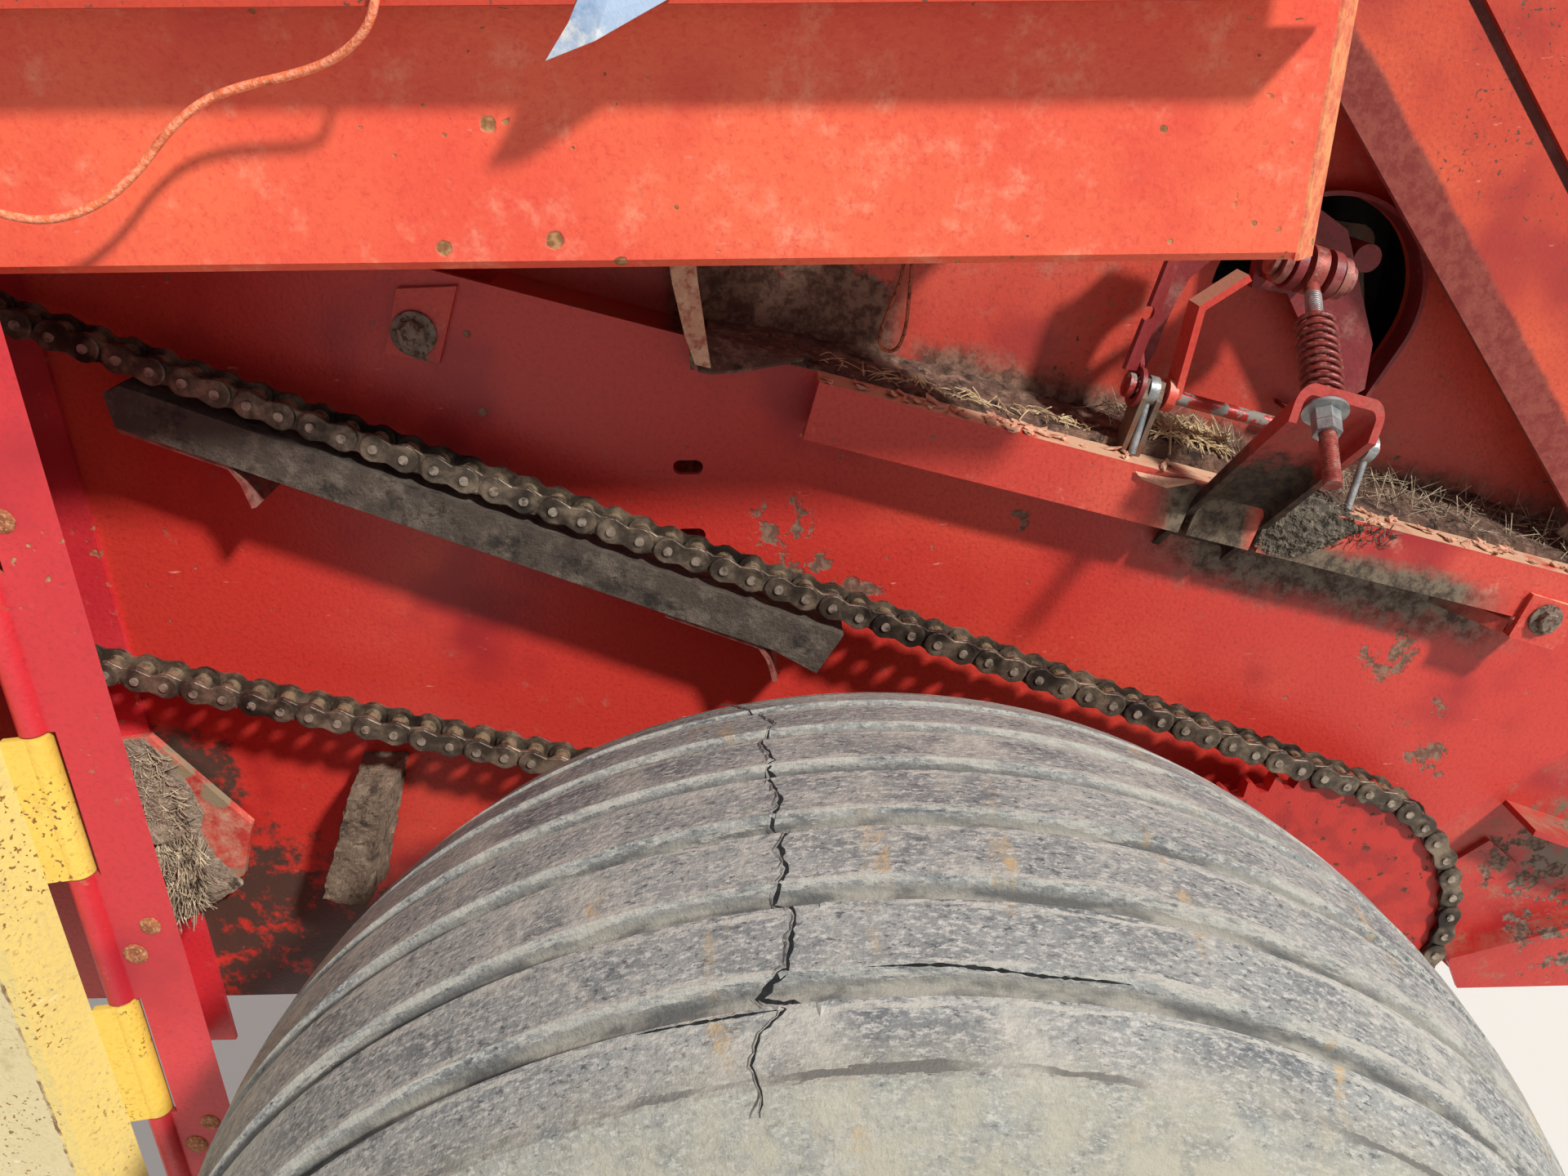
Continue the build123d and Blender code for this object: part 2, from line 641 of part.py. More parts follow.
# Tensioner: sloped channel bracket on the rail, rod, nuts, spring, eye
slope = radians(bracketSlope)
along = (-cos(slope), sin(slope))
square = (-sin(slope), -cos(slope))
webFoot = (railOut - gap, railTop + gap)


def onWeb(distance, depth):
    # A place in the plane across the rail: along the bracket's web and square to it, as Y and b
    return (webFoot[0] + along[0] * distance + square[0] * depth,
            webFoot[1] + along[1] * distance + square[1] * depth)


cheekOutline = [onWeb(0, 0), onWeb(bracketReach, 0), onWeb(bracketReach - flangeCutBack, bracketFlange),
                (outerFaceY, railTop - 59), (outerFaceY, railTop - 40), (railOut + 8, cheekSeat),
                (railOut - gap, cheekSeat)]
c, s = cos(radians(railAngle)), sin(radians(railAngle))
footY, footB = onWeb(-90, 0)
footX, footZ = railPoint(bracketLeft + bracketWide / 2, footB)
channelPlane = Plane(origin=(footX, footY, footZ), x_dir=(c, 0, -s), z_dir=(along[1] * s, along[0],
                                                                            along[1] * c))


def channelFace(wide, depth, radius):
    # Square-ended face with its two corners at the web rounded
    face = Pos(0, depth - 75) * Rectangle(wide, 150)
    return fillet(face.vertices().group_by(Axis.Y)[-1], radius)


channel = (channelFace(bracketWide, 0, bracketBend)
           - channelFace(bracketWide - 2 * bracketThick, -bracketThick, bracketBend - bracketThick))
bracket = extrude(channelPlane * channel, amount=bracketReach + 90)
bracket &= railPlate(cheekOutline, bracketLeft - 1, bracketLeft + bracketWide + 1)


def rodPoint(depth):
    y, b = onWeb(washerAlong, depth)
    x, z = railPoint(rodA, b)
    return (x, y, z)


bracket -= bar(rodPoint(-4), rodPoint(bracketThick + 4), rodRadius + 1)
parts["tension_bracket"] = bracket
nutPlane = Plane(origin=rodPoint(bracketThick + gap), z_dir=Vector(*rodPoint(10)) - Vector(*rodPoint(0)))
nuts = extrude(nutPlane * Circle(13), amount=2)
nuts += extrude(nutPlane.offset(2) * RegularPolygon(8.2, 6), amount=8)
nuts += extrude(nutPlane.offset(10.3) * RegularPolygon(8.2, 6), amount=7)
parts["tension_nuts"] = nuts - bar(rodPoint(-2), rodPoint(40), rodRadius + gap)
springTop, springFoot = -66.0, -gap
turns = 9
coil = []
springRadius, wire = 11.0, 3.6
springStep = (springFoot - springTop) / turns
for i in range(turns):
    coil.append((springRadius - wire / 2, springTop + i * springStep))
    coil.append((springRadius + wire / 2, springTop + (i + 0.5) * springStep))
springFace = [(6.5, springTop)] + coil + [(springRadius - wire / 2, springFoot), (6.5, springFoot)]
springPlane = Plane(origin=rodPoint(0), z_dir=Vector(*rodPoint(10)) - Vector(*rodPoint(0)))
springSolid = revolve(make_face(Polyline(*[(r, 0, h) for r, h in springFace], close=True)), Axis.Z, 360)
parts["tension_spring"] = springPlane.location * springSolid

# Eye at the rod's head, its cross pin and the bell crank behind it
eyeY, eyeB = onWeb(washerAlong, -rodToEye)


def railBar(a0, a1, y, b, radius):
    x0, z0 = railPoint(a0, b)
    x1, z1 = railPoint(a1, b)
    return bar((x0, y, z0), (x1, y, z1), radius)


eye = railBar(rodA - 4.5, rodA + 4.5, eyeY, eyeB, 15)
eye += bar(rodPoint(10 - rodToEye), rodPoint(rodFromWeb), rodRadius)
parts["tension_rod"] = eye - railBar(rodA - 7, rodA + 7, eyeY, eyeB, eyePinRadius + gap)
crankPin = railBar(rodA - 27, rodA + 27, eyeY, eyeB, eyePinRadius)
for a0, a1, radius in ((-27, -24, 9), (-22, -17, 13), (17, 22, 13), (24, 27, 9)):
    crankPin += railBar(rodA + a0, rodA + a1, eyeY, eyeB, radius)
parts["crank_pin"] = crankPin
eyeX, eyeZ = railPoint(rodA, eyeB)
crank = plateXZ([(eyeX - 22, 604), (eyeX + 6, 606), (eyeX + 34, 588), (355, 514), (356, 483), (336, 470),
                 (322, 500), (eyeX + 2, 548), (eyeX - 22, 552)], -32, -24)
crank += across(340, 570, -32, linkNearY, 9)
for a0 in (-15, 9):
    ear = railPlate([(-32, eyeB - 14), (eyeY - 4, eyeB - 14), (eyeY - 4, eyeB + 14), (-32, eyeB + 14)],
                    rodA + a0, rodA + a0 + 6)
    ear += railBar(rodA + a0, rodA + a0 + 6, eyeY, eyeB, 15)
    crank += ear - railBar(rodA + a0 - 1, rodA + a0 + 7, eyeY, eyeB, eyePinRadius + gap)
parts["bell_crank"] = crank
links = plateXZ([(322, 560), (338, 500), (362, 552), (358, 584), (330, 588)], linkNearY, linkNearY + 7)
links += plateXZ([(346, 560), (364, 560), (376, 510), (368, 488), (352, 490)], linkNearY + 7, linkNearY + 14)
links += across(354, 572, linkNearY, linkNearY + 22, 12) + across(363, 504, linkNearY + 7, linkNearY + 20, 9)
parts["inner_links"] = links

# Pan behind the opening, closed at the back
pan = box(openX - 92, openX + 88, 0, panDeep, openZ - 110, openZ + 90)
parts["opening_pan"] = pan - box(openX - 89, openX + 85, -1, panDeep - 3, openZ - 107, openZ + 87)

# Latch: cross shaft on two ears and two rod loops, angle lever, release bar
ears = []
for earA in (54, 64):
    ear = railPlate([(shaftY - 10, railTop + gap), (shaftY + 6, railTop + gap), (shaftY + 10, shaftB - 4),
                     (shaftY + 6, shaftB + 8), (shaftY - 5, shaftB + 8), (shaftY - 10, shaftB - 4)],
                     earA, earA + 3.5)
    ears.append(ear - railBar(earA - 1, earA + 5, shaftY, shaftB, latchShaftRadius + gap))
parts["latch_ears"] = Compound(ears)
shaft = railBar(shaftFrom, shaftTo, shaftY, shaftB, latchShaftRadius)
parts["latch_shaft"] = shaft + railBar(shaftFrom, shaftFrom + 4, shaftY, shaftB, 8)
leverPath = [(82, shaftY + 20), (50, shaftY + 20), (45, shaftY + 2), (36, shaftY - 4)]
lever = Rot(0, railAngle, 0) * plateXY(strip(leverPath, 3), shaftB + 10, shaftB + 114)
leverOutline = [(140, 480), (198, 500), (205, 514), (209, 531), (214, 546), (221, 561), (233, 572),
                (246, 581), (250, 660), (140, 660)]
lever = lever & plateXZ(leverOutline, -90, -20)
lever += railBar(50, 53, shaftY, shaftB, 13)
lever += railPlate([(shaftY + 4, shaftB + 4), (shaftY + 20, shaftB + 4), (shaftY + 20, shaftB + 24),
                    (shaftY + 4, shaftB + 14)], 50, 53)
lever -= railBar(30, 80, shaftY, shaftB, 8 + gap)
parts["latch_lever"] = lever - across(190, 544, -90, -50, 4.5)
loops = []
for a in (rodLoopFront, rodLoopRear):
    loop = railBar(a - 3.2, a + 3.2, shaftY, shaftB, latchShaftRadius + 5)
    topX, topZ = railPoint(a, shaftB)
    footX, footZ = railPoint(a, railTop + 1.5)
    loop += bar((footX, shaftY - 12, footZ), (topX, shaftY - 2, topZ), 2.6)
    loops.append(loop - railBar(a - 4, a + 4, shaftY, shaftB, latchShaftRadius + gap))
parts["shaft_loops"] = Compound(loops)
barX, barZ = railPoint(barA, shaftB)
releasePath = [(barX + 38, barZ + 78), (barX + 10, barZ + 59), (barX + 2, barZ)]
release = plateXZ(strip(releasePath, 4.5), shaftY - 8, shaftY + 12)
release += railBar(barA - 3, barA + 3, shaftY, shaftB, latchShaftRadius + 6)
parts["release_bar"] = release - railBar(barA - 9, barA + 9, shaftY, shaftB, latchShaftRadius + gap)

# Diagonal post, gate edge and seal at the rear
postOutline = [(215, 760), (320, 760), (658, 348), (640, 330), (600, railTopAt(600)), (540, railTopAt(540))]
post = plateXZ(postOutline, outerFaceY, outerBackY)
postRun = Vector(540 - 215, 0, railTopAt(540) - 760)
postPlane = Plane(origin=(215, 0, 760), x_dir=(-postRun.Z, 0, postRun.X), z_dir=postRun)
postSide = make_face(Polyline((0, -outerBackY), (7, -outerBackY), (postSlant + 5, -innerFaceY),
                              (postSlant, -innerFaceY), close=True))
post += extrude(postPlane * postSide, amount=postRun.length - 12)
parts["diagonal_post"] = post
gate = plateXZ([(335, 760), (700, 760), (700, 315)], outerFaceY + 8, outerFaceY + 12)
parts["gate_edge"] = gate + plateXZ([(600, 764), (700, 764), (700, 760), (600, 760)], outerFaceY + 8,
                                    innerFaceY)
parts["gate_seal"] = plateXZ([(312, 760), (362, 760), (690, 360), (640, 360)], outerFaceY + 12,
                             outerFaceY + 20)

# Rear lower bracket: strap with a slot, foot plate and cross rib
strapOutline = [(548, 96), (518, 122), (462, 74), (490, 46)]
strap = plateXZ(strapOutline, outerFaceY - 4, outerFaceY)
slot = plateXZ([(508, 66), (515, 60), (531, 78), (524, 84)], outerFaceY - 5, outerFaceY + 1)
slot += across(511.5, 63, outerFaceY - 5, outerFaceY + 1, 4.6) + across(527.5, 81, outerFaceY - 5,
                                                                        outerFaceY + 1, 4.6)
parts["rear_strap"] = Pos(0, 5, 0) * (strap - slot)
foot = plateXZ([(505, 8), (519, -20), (650, -20), (650, 56)], outerFaceY - 12, outerFaceY - 8)
foot += plateXZ([(505, 8), (650, 56), (650, 60), (505, 12)], outerFaceY - 12, outerBackY)
parts["rear_foot"] = foot
parts["rear_rib"] = plateXZ([(524, 158), (650, 108), (650, 103), (523, 153)], outerFaceY - 34, outerBackY)
web = plateXZ([(425, 140), (557, 250), (650, 250), (650, -14), (520, -14), (498, 8), (425, 60)],
              outerBackY, outerBackY + 5)
parts["rear_web"] = web

# Tabs on the outer sheet
tab = plateXZ([(469, 356), (500, 346), (500, 318), (493, 313), (460, 324)], railOut - 4, railOut)
tab += plateXZ([(460, 324), (493, 313), (493.5, 317), (461, 327.5)], railOut, outerFaceY)
wedge = Rot(0, railAngle, 0) * plateXY([(314, outerFaceY), (356, railOut + 2), (361, outerFaceY)], 434, 444)
parts["bolt_tab"] = Compound([tab, wedge])
ztab = plateXZ([(-277, 564), (-240, 565), (-257, 517), (-290, 524)], outerFaceY - 4, outerFaceY)
parts["z_tab"] = ztab - across(-270, 535, outerFaceY - 5, outerFaceY + 1, 6)

# Straw-caked gusset and the caked stub below the return strand
parts["gusset"] = plateXZ([(-528, 244), (-500, 248), (-442, 169), (-457, 122), (-524, 76)],
                          outerFaceY - closureThick - 6, outerFaceY - closureThick)
parts["caked_stub"] = plateXZ([(-352, 226), (-318, 226), (-352, 112), (-388, 124)], outerFaceY - 56,
                              outerFaceY)

os.makedirs("parts", exist_ok=True)
for name, shape in parts.items():
    export_step(shape, f"parts/{name}.step")
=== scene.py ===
from math import asin, atan2, cos, pi, radians, sin
from random import Random
import bmesh
import bpy
from mathutils import Matrix, Vector


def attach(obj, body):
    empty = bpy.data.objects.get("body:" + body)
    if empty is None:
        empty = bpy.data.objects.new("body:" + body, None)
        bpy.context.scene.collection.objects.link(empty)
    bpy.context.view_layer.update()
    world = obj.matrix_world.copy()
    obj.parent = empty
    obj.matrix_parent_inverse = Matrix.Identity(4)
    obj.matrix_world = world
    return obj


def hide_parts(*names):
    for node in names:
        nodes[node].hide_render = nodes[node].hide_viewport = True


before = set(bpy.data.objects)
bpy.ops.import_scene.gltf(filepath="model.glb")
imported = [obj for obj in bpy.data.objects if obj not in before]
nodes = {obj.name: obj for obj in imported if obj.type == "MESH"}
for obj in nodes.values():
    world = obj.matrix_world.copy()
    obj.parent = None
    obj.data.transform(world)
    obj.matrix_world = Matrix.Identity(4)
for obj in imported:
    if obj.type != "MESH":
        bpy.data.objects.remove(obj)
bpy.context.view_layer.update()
scene = bpy.context.scene
print("frame loaded")

# The photo's camera, fitted to the chain's pitch and the tyre
photoCamera = {"place": (-0.05423, -0.80250, 0.70788), "yaw": 1.1137, "pitch": 25.4797, "roll": -0.4491,
               "lens": 27.04, "sensor": 36.0}


def addCamera(spec):
    yaw, pitch, roll = radians(spec["yaw"]), radians(spec["pitch"]), radians(spec["roll"])
    forward = Vector((sin(yaw) * cos(pitch), cos(yaw) * cos(pitch), -sin(pitch)))
    right = Vector((cos(yaw), -sin(yaw), 0))
    up = right.cross(forward)
    rolledRight = cos(roll) * right + sin(roll) * up
    rolledUp = -sin(roll) * right + cos(roll) * up
    turn = Matrix((rolledRight, rolledUp, -forward)).transposed().to_4x4()
    data = bpy.data.cameras.new("camera")
    data.lens = spec["lens"]
    data.sensor_width = spec["sensor"]
    data.clip_start = 0.01
    camera = bpy.data.objects.new("camera", data)
    camera.matrix_world = Matrix.Translation(spec["place"]) @ turn
    scene.collection.objects.link(camera)
    scene.camera = camera


addCamera(photoCamera)
scene.view_settings.view_transform = "Standard"
print("camera placed")


# Materials: one function turns colours linear, one adds a node
def linear(value):
    return value / 12.92 if value <= 0.04045 else ((value + 0.055) / 1.055) ** 2.4


def colour(code):
    return tuple(linear(int(code[i:i + 2], 16) / 255) for i in (0, 2, 4)) + (1.0,)


def addNode(tree, kind, settings=None, links=None):
    # Text keys set attributes or named sockets, number keys set sockets by place
    node = tree.nodes.new(kind)
    for key, value in (settings or {}).items():
        if isinstance(key, int) or (key in node.inputs and not hasattr(node, key)):
            node.inputs[key].default_value = value
        else:
            setattr(node, key, value)
    for key, socket in (links or {}).items():
        tree.links.new(socket, node.inputs[key])
    return node


def newMaterial(name):
    material = bpy.data.materials.new(name)
    material.use_nodes = True
    tree = material.node_tree
    return material, tree, tree.nodes["Principled BSDF"]


def coat(tree, under, code, mask, within=None):
    # Lays a colour where the mask is white, and only inside the second mask where one is given
    if within is not None:
        mask = addNode(tree, "ShaderNodeMath", {"operation": "MULTIPLY"}, {0: mask, 1: within}).outputs[0]
    laid = addNode(tree, "ShaderNodeMix", {"data_type": "RGBA", 7: colour(code)}, {0: mask})
    if isinstance(under, str):
        laid.inputs[6].default_value = colour(under)
    else:
        tree.links.new(under, laid.inputs[6])
    return laid.outputs[2]


def noiseMask(tree, vector, scale, low, high, detail=3.0, rough=0.55, shift=0.0):
    # Blotches: noise cut between two levels, so many to the metre; the shift picks other blotches
    moved = addNode(tree, "ShaderNodeVectorMath", {"operation": "ADD", 1: (shift, -shift, 0.7 * shift)},
                    {0: vector})
    noise = addNode(tree, "ShaderNodeTexNoise", {"Scale": scale, "Detail": detail, "Roughness": rough},
                    {"Vector": moved.outputs[0]})
    cut = addNode(tree, "ShaderNodeMapRange", {"interpolation_type": "SMOOTHSTEP", "From Min": low,
                                               "From Max": high}, {"Value": noise.outputs["Fac"]})
    return cut.outputs["Result"]


def spotMask(tree, vector, spots, ragged):
    # Soft-edged places, each (x, y, z, radius) in metres, with an edge made uneven by noise
    total = None
    for x, y, z, radius in spots:
        away = addNode(tree, "ShaderNodeVectorMath", {"operation": "DISTANCE", 1: (x, y, z)}, {0: vector})
        summed = addNode(tree, "ShaderNodeMath", {"operation": "MULTIPLY_ADD", 1: radius * 1.6},
                         {0: ragged, 2: away.outputs["Value"]})
        near = addNode(tree, "ShaderNodeMapRange", {"interpolation_type": "SMOOTHSTEP",
                                                    "From Min": radius * 1.8, "From Max": radius * 1.5},
                       {"Value": summed.outputs[0]})
        if total is None:
            total = near.outputs["Result"]
        else:
            total = addNode(tree, "ShaderNodeMath", {"operation": "MAXIMUM"},
                            {0: total, 1: near.outputs["Result"]}).outputs[0]
    return total


def bandMask(tree, vector, bands, ragged):
    # Bands along a line, the rail's unless another direction across it is given, dirt on most pieces and painted shade
    # on some: each band has the height across where it is full and where it is gone, how uneven its edge is, and its
    # ends along X
    total = None
    parts = addNode(tree, "ShaderNodeSeparateXYZ", {}, {0: vector})
    for band in bands:
        across = addNode(tree, "ShaderNodeVectorMath",
                         {"operation": "DOT_PRODUCT", 1: band.get("across", (0.2656, 0.0, 0.9641))},
                         {0: vector}).outputs["Value"]
        shaken = addNode(tree, "ShaderNodeMath", {"operation": "MULTIPLY_ADD", 1: band["uneven"]},
                         {0: ragged, 2: across})
        half = band["uneven"] / 2
        height = addNode(tree, "ShaderNodeMapRange", {"interpolation_type": "SMOOTHSTEP",
                                                      "From Min": band["gone"] + half,
                                                      "From Max": band["full"] + half},
                         {"Value": shaken.outputs[0]})
        start = addNode(tree, "ShaderNodeMapRange", {"From Min": band["from"][0], "From Max": band["from"][1]},
                        {"Value": parts.outputs["X"]})
        end = addNode(tree, "ShaderNodeMapRange", {"From Min": band["to"][1], "From Max": band["to"][0]},
                      {"Value": parts.outputs["X"]})
        reach = addNode(tree, "ShaderNodeMath", {"operation": "MULTIPLY"},
                        {0: start.outputs["Result"], 1: end.outputs["Result"]}).outputs[0]
        both = addNode(tree, "ShaderNodeMath", {"operation": "MULTIPLY"}, {0: height.outputs["Result"], 1: reach})
        if total is None:
            total = both.outputs[0]
        else:
            total = addNode(tree, "ShaderNodeMath", {"operation": "MAXIMUM"},
                            {0: total, 1: both.outputs[0]}).outputs[0]
    return total


def paintedSteel(name, spec):
    # Alkyd enamel sprayed on sheet steel: faded where the sun is on it, chips down to brown rust,
    # a film of dust, and dirt that settles on what faces up
    material, tree, shader = newMaterial(name)
    spot = addNode(tree, "ShaderNodeTexCoord").outputs["Object"]
    seed = spec["seed"]
    ragged = addNode(tree, "ShaderNodeTexNoise", {"Scale": 55.0, "Detail": 4.0, "Roughness": 0.7},
                     {"Vector": spot}).outputs["Fac"]
    paint = coat(tree, spec["paint"], spec["faded"], noiseMask(tree, spot, 5.0, *spec["fadeCut"], shift=seed))
    paint = coat(tree, paint, spec["deep"], noiseMask(tree, spot, 9.0, *spec["deepCut"], shift=seed + 2))
    if spec.get("second"):
        across = addNode(tree, "ShaderNodeSeparateXYZ", {}, {0: spot}).outputs["X"]
        side = addNode(tree, "ShaderNodeMath", {"operation": "GREATER_THAN", 1: spec["secondFrom"]}, {0: across})
        paint = coat(tree, paint, spec["second"], side.outputs[0])
        seam = addNode(tree, "ShaderNodeMath", {"operation": "MULTIPLY_ADD", 1: 0.006}, {0: ragged, 2: across})
        seam = addNode(tree, "ShaderNodeMath", {"operation": "COMPARE", 1: spec["secondFrom"] + 0.003, 2: 0.0011},
                       {0: seam.outputs[0]})
        paint = coat(tree, paint, spec["rust"], seam.outputs[0], noiseMask(tree, spot, 70.0, 0.42, 0.6, shift=seed))
    stretched = addNode(tree, "ShaderNodeMapping", {"Rotation": (0.0, 0.27, 0.0), "Scale": (60.0, 60.0, 260.0)},
                        {"Vector": spot}).outputs["Vector"]
    patches = noiseMask(tree, spot, 14.0, 0.45, 0.6, detail=2.0)
    paint = coat(tree, paint, spec["scuff"], noiseMask(tree, stretched, 1.0, 0.7, 0.78, shift=seed + 5), patches)
    dust = noiseMask(tree, spot, 40.0, *spec["dustCut"], detail=4.0, rough=0.7, shift=seed + 7)
    paint = coat(tree, paint, spec["dust"], dust)
    grime = noiseMask(tree, spot, 300.0, 0.42, 0.95, detail=2.0, rough=0.8, shift=seed + 1)
    paint = coat(tree, paint, spec["deep"], grime)
    facing = addNode(tree, "ShaderNodeNewGeometry").outputs["Normal"]
    facing = addNode(tree, "ShaderNodeSeparateXYZ", {}, {0: facing})
    outboard = addNode(tree, "ShaderNodeMath", {"operation": "LESS_THAN", 1: 0.4}, {0: facing.outputs["Y"]}).outputs[0]
    rough = dust
    if spec.get("specks"):
        specks = noiseMask(tree, spot, 330.0, *spec["speckCut"], detail=1.0, shift=seed + 3)
        paint = coat(tree, paint, spec["specks"], specks, patches)
    # Bands of dirt; on the post's edge, the tensioner's web and low on the rail their dark colour also stands for
    # shade (painted shade)
    if spec.get("bands"):
        band = bandMask(tree, spot, spec["bands"], ragged)
        band = addNode(tree, "ShaderNodeMath", {"operation": "MULTIPLY"}, {0: band, 1: outboard}).outputs[0]
        tone = noiseMask(tree, spot, 120.0, 0.36, 0.64, detail=4.0, rough=0.75, shift=seed + 9)
        dirtAndShade = coat(tree, spec["dirtAndShade"], spec["paleDirtAndShade"], tone)
        paint = addNode(tree, "ShaderNodeMix", {"data_type": "RGBA"}, {0: band, 6: paint, 7: dirtAndShade}).outputs[2]
        rough = addNode(tree, "ShaderNodeMath", {"operation": "MAXIMUM"}, {0: rough, 1: band}).outputs[0]
    # Spots of dirt; at the outer sheet's lower left they also stand for the shade there (painted shade)
    if spec.get("dirtAndShadeSpots"):
        dirtAndShade = spotMask(tree, spot, spec["dirtAndShadeSpots"], ragged)
        dirtAndShade = addNode(tree, "ShaderNodeMath", {"operation": "MULTIPLY"}, {0: dirtAndShade, 1: outboard}).outputs[0]
        broken = noiseMask(tree, spot, 60.0, 0.3, 0.5, detail=3.0, rough=0.7, shift=seed + 11)
        paint = coat(tree, paint, spec["dirtAndShade"], dirtAndShade, broken)
    ledge = addNode(tree, "ShaderNodeMapRange", {"From Min": 0.45, "From Max": 0.9},
                    {"Value": facing.outputs["Z"]})
    paint = coat(tree, paint, spec["settled"], ledge.outputs["Result"],
                 noiseMask(tree, spot, 30.0, *spec["settledCut"], detail=3.0, rough=0.7))
    pits = noiseMask(tree, spot, 150.0, *spec["pitCut"], detail=1.0, shift=seed + 13)
    pits = addNode(tree, "ShaderNodeMath", {"operation": "MULTIPLY"}, {0: pits, 1: patches}).outputs[0]
    if spec.get("chips"):
        cluster = spotMask(tree, spot, spec["chips"], ragged)
        cluster = addNode(tree, "ShaderNodeMath", {"operation": "MULTIPLY"}, {0: cluster, 1: outboard}).outputs[0]
        flakes = noiseMask(tree, spot, 62.0, 0.53, 0.545, detail=5.0, rough=0.62, shift=seed + 19)
        pits = addNode(tree, "ShaderNodeMath", {"operation": "MULTIPLY_ADD", "use_clamp": True},
                       {0: cluster, 1: flakes, 2: pits}).outputs[0]
    if spec.get("bare"):
        pits = addNode(tree, "ShaderNodeMath", {"operation": "MAXIMUM"},
                       {0: pits, 1: spotMask(tree, spot, spec["bare"], ragged)}).outputs[0]
    rust = coat(tree, spec["rust"], spec["rustPale"], noiseMask(tree, spot, 240.0, 0.38, 0.66))
    paint = addNode(tree, "ShaderNodeMix", {"data_type": "RGBA"}, {0: pits, 6: paint, 7: rust}).outputs[2]
    tree.links.new(paint, shader.inputs["Base Color"])
    worn = addNode(tree, "ShaderNodeMath", {"operation": "ADD"}, {0: pits, 1: rough}).outputs[0]
    roughness = addNode(tree, "ShaderNodeMapRange", {"To Min": spec["gloss"], "To Max": 0.88}, {"Value": worn})
    tree.links.new(roughness.outputs["Result"], shader.inputs["Roughness"])
    dents = addNode(tree, "ShaderNodeTexNoise", {"Scale": 4.5, "Detail": 1.0}, {"Vector": spot}).outputs["Fac"]
    bent = addNode(tree, "ShaderNodeBump", {"Strength": spec["dent"], "Distance": 0.012}, {"Height": dents})
    grain = addNode(tree, "ShaderNodeTexNoise", {"Scale": 380.0, "Detail": 2.0}, {"Vector": spot}).outputs["Fac"]
    peel = addNode(tree, "ShaderNodeBump", {"Strength": 0.35, "Distance": 0.0008},
                   {"Height": grain, "Normal": bent.outputs["Normal"]})
    sunk = addNode(tree, "ShaderNodeBump", {"Strength": 0.6, "Distance": 0.0008, "invert": True},
                   {"Height": pits, "Normal": peel.outputs["Normal"]})
    tree.links.new(sunk.outputs["Normal"], shader.inputs["Normal"])
    return material


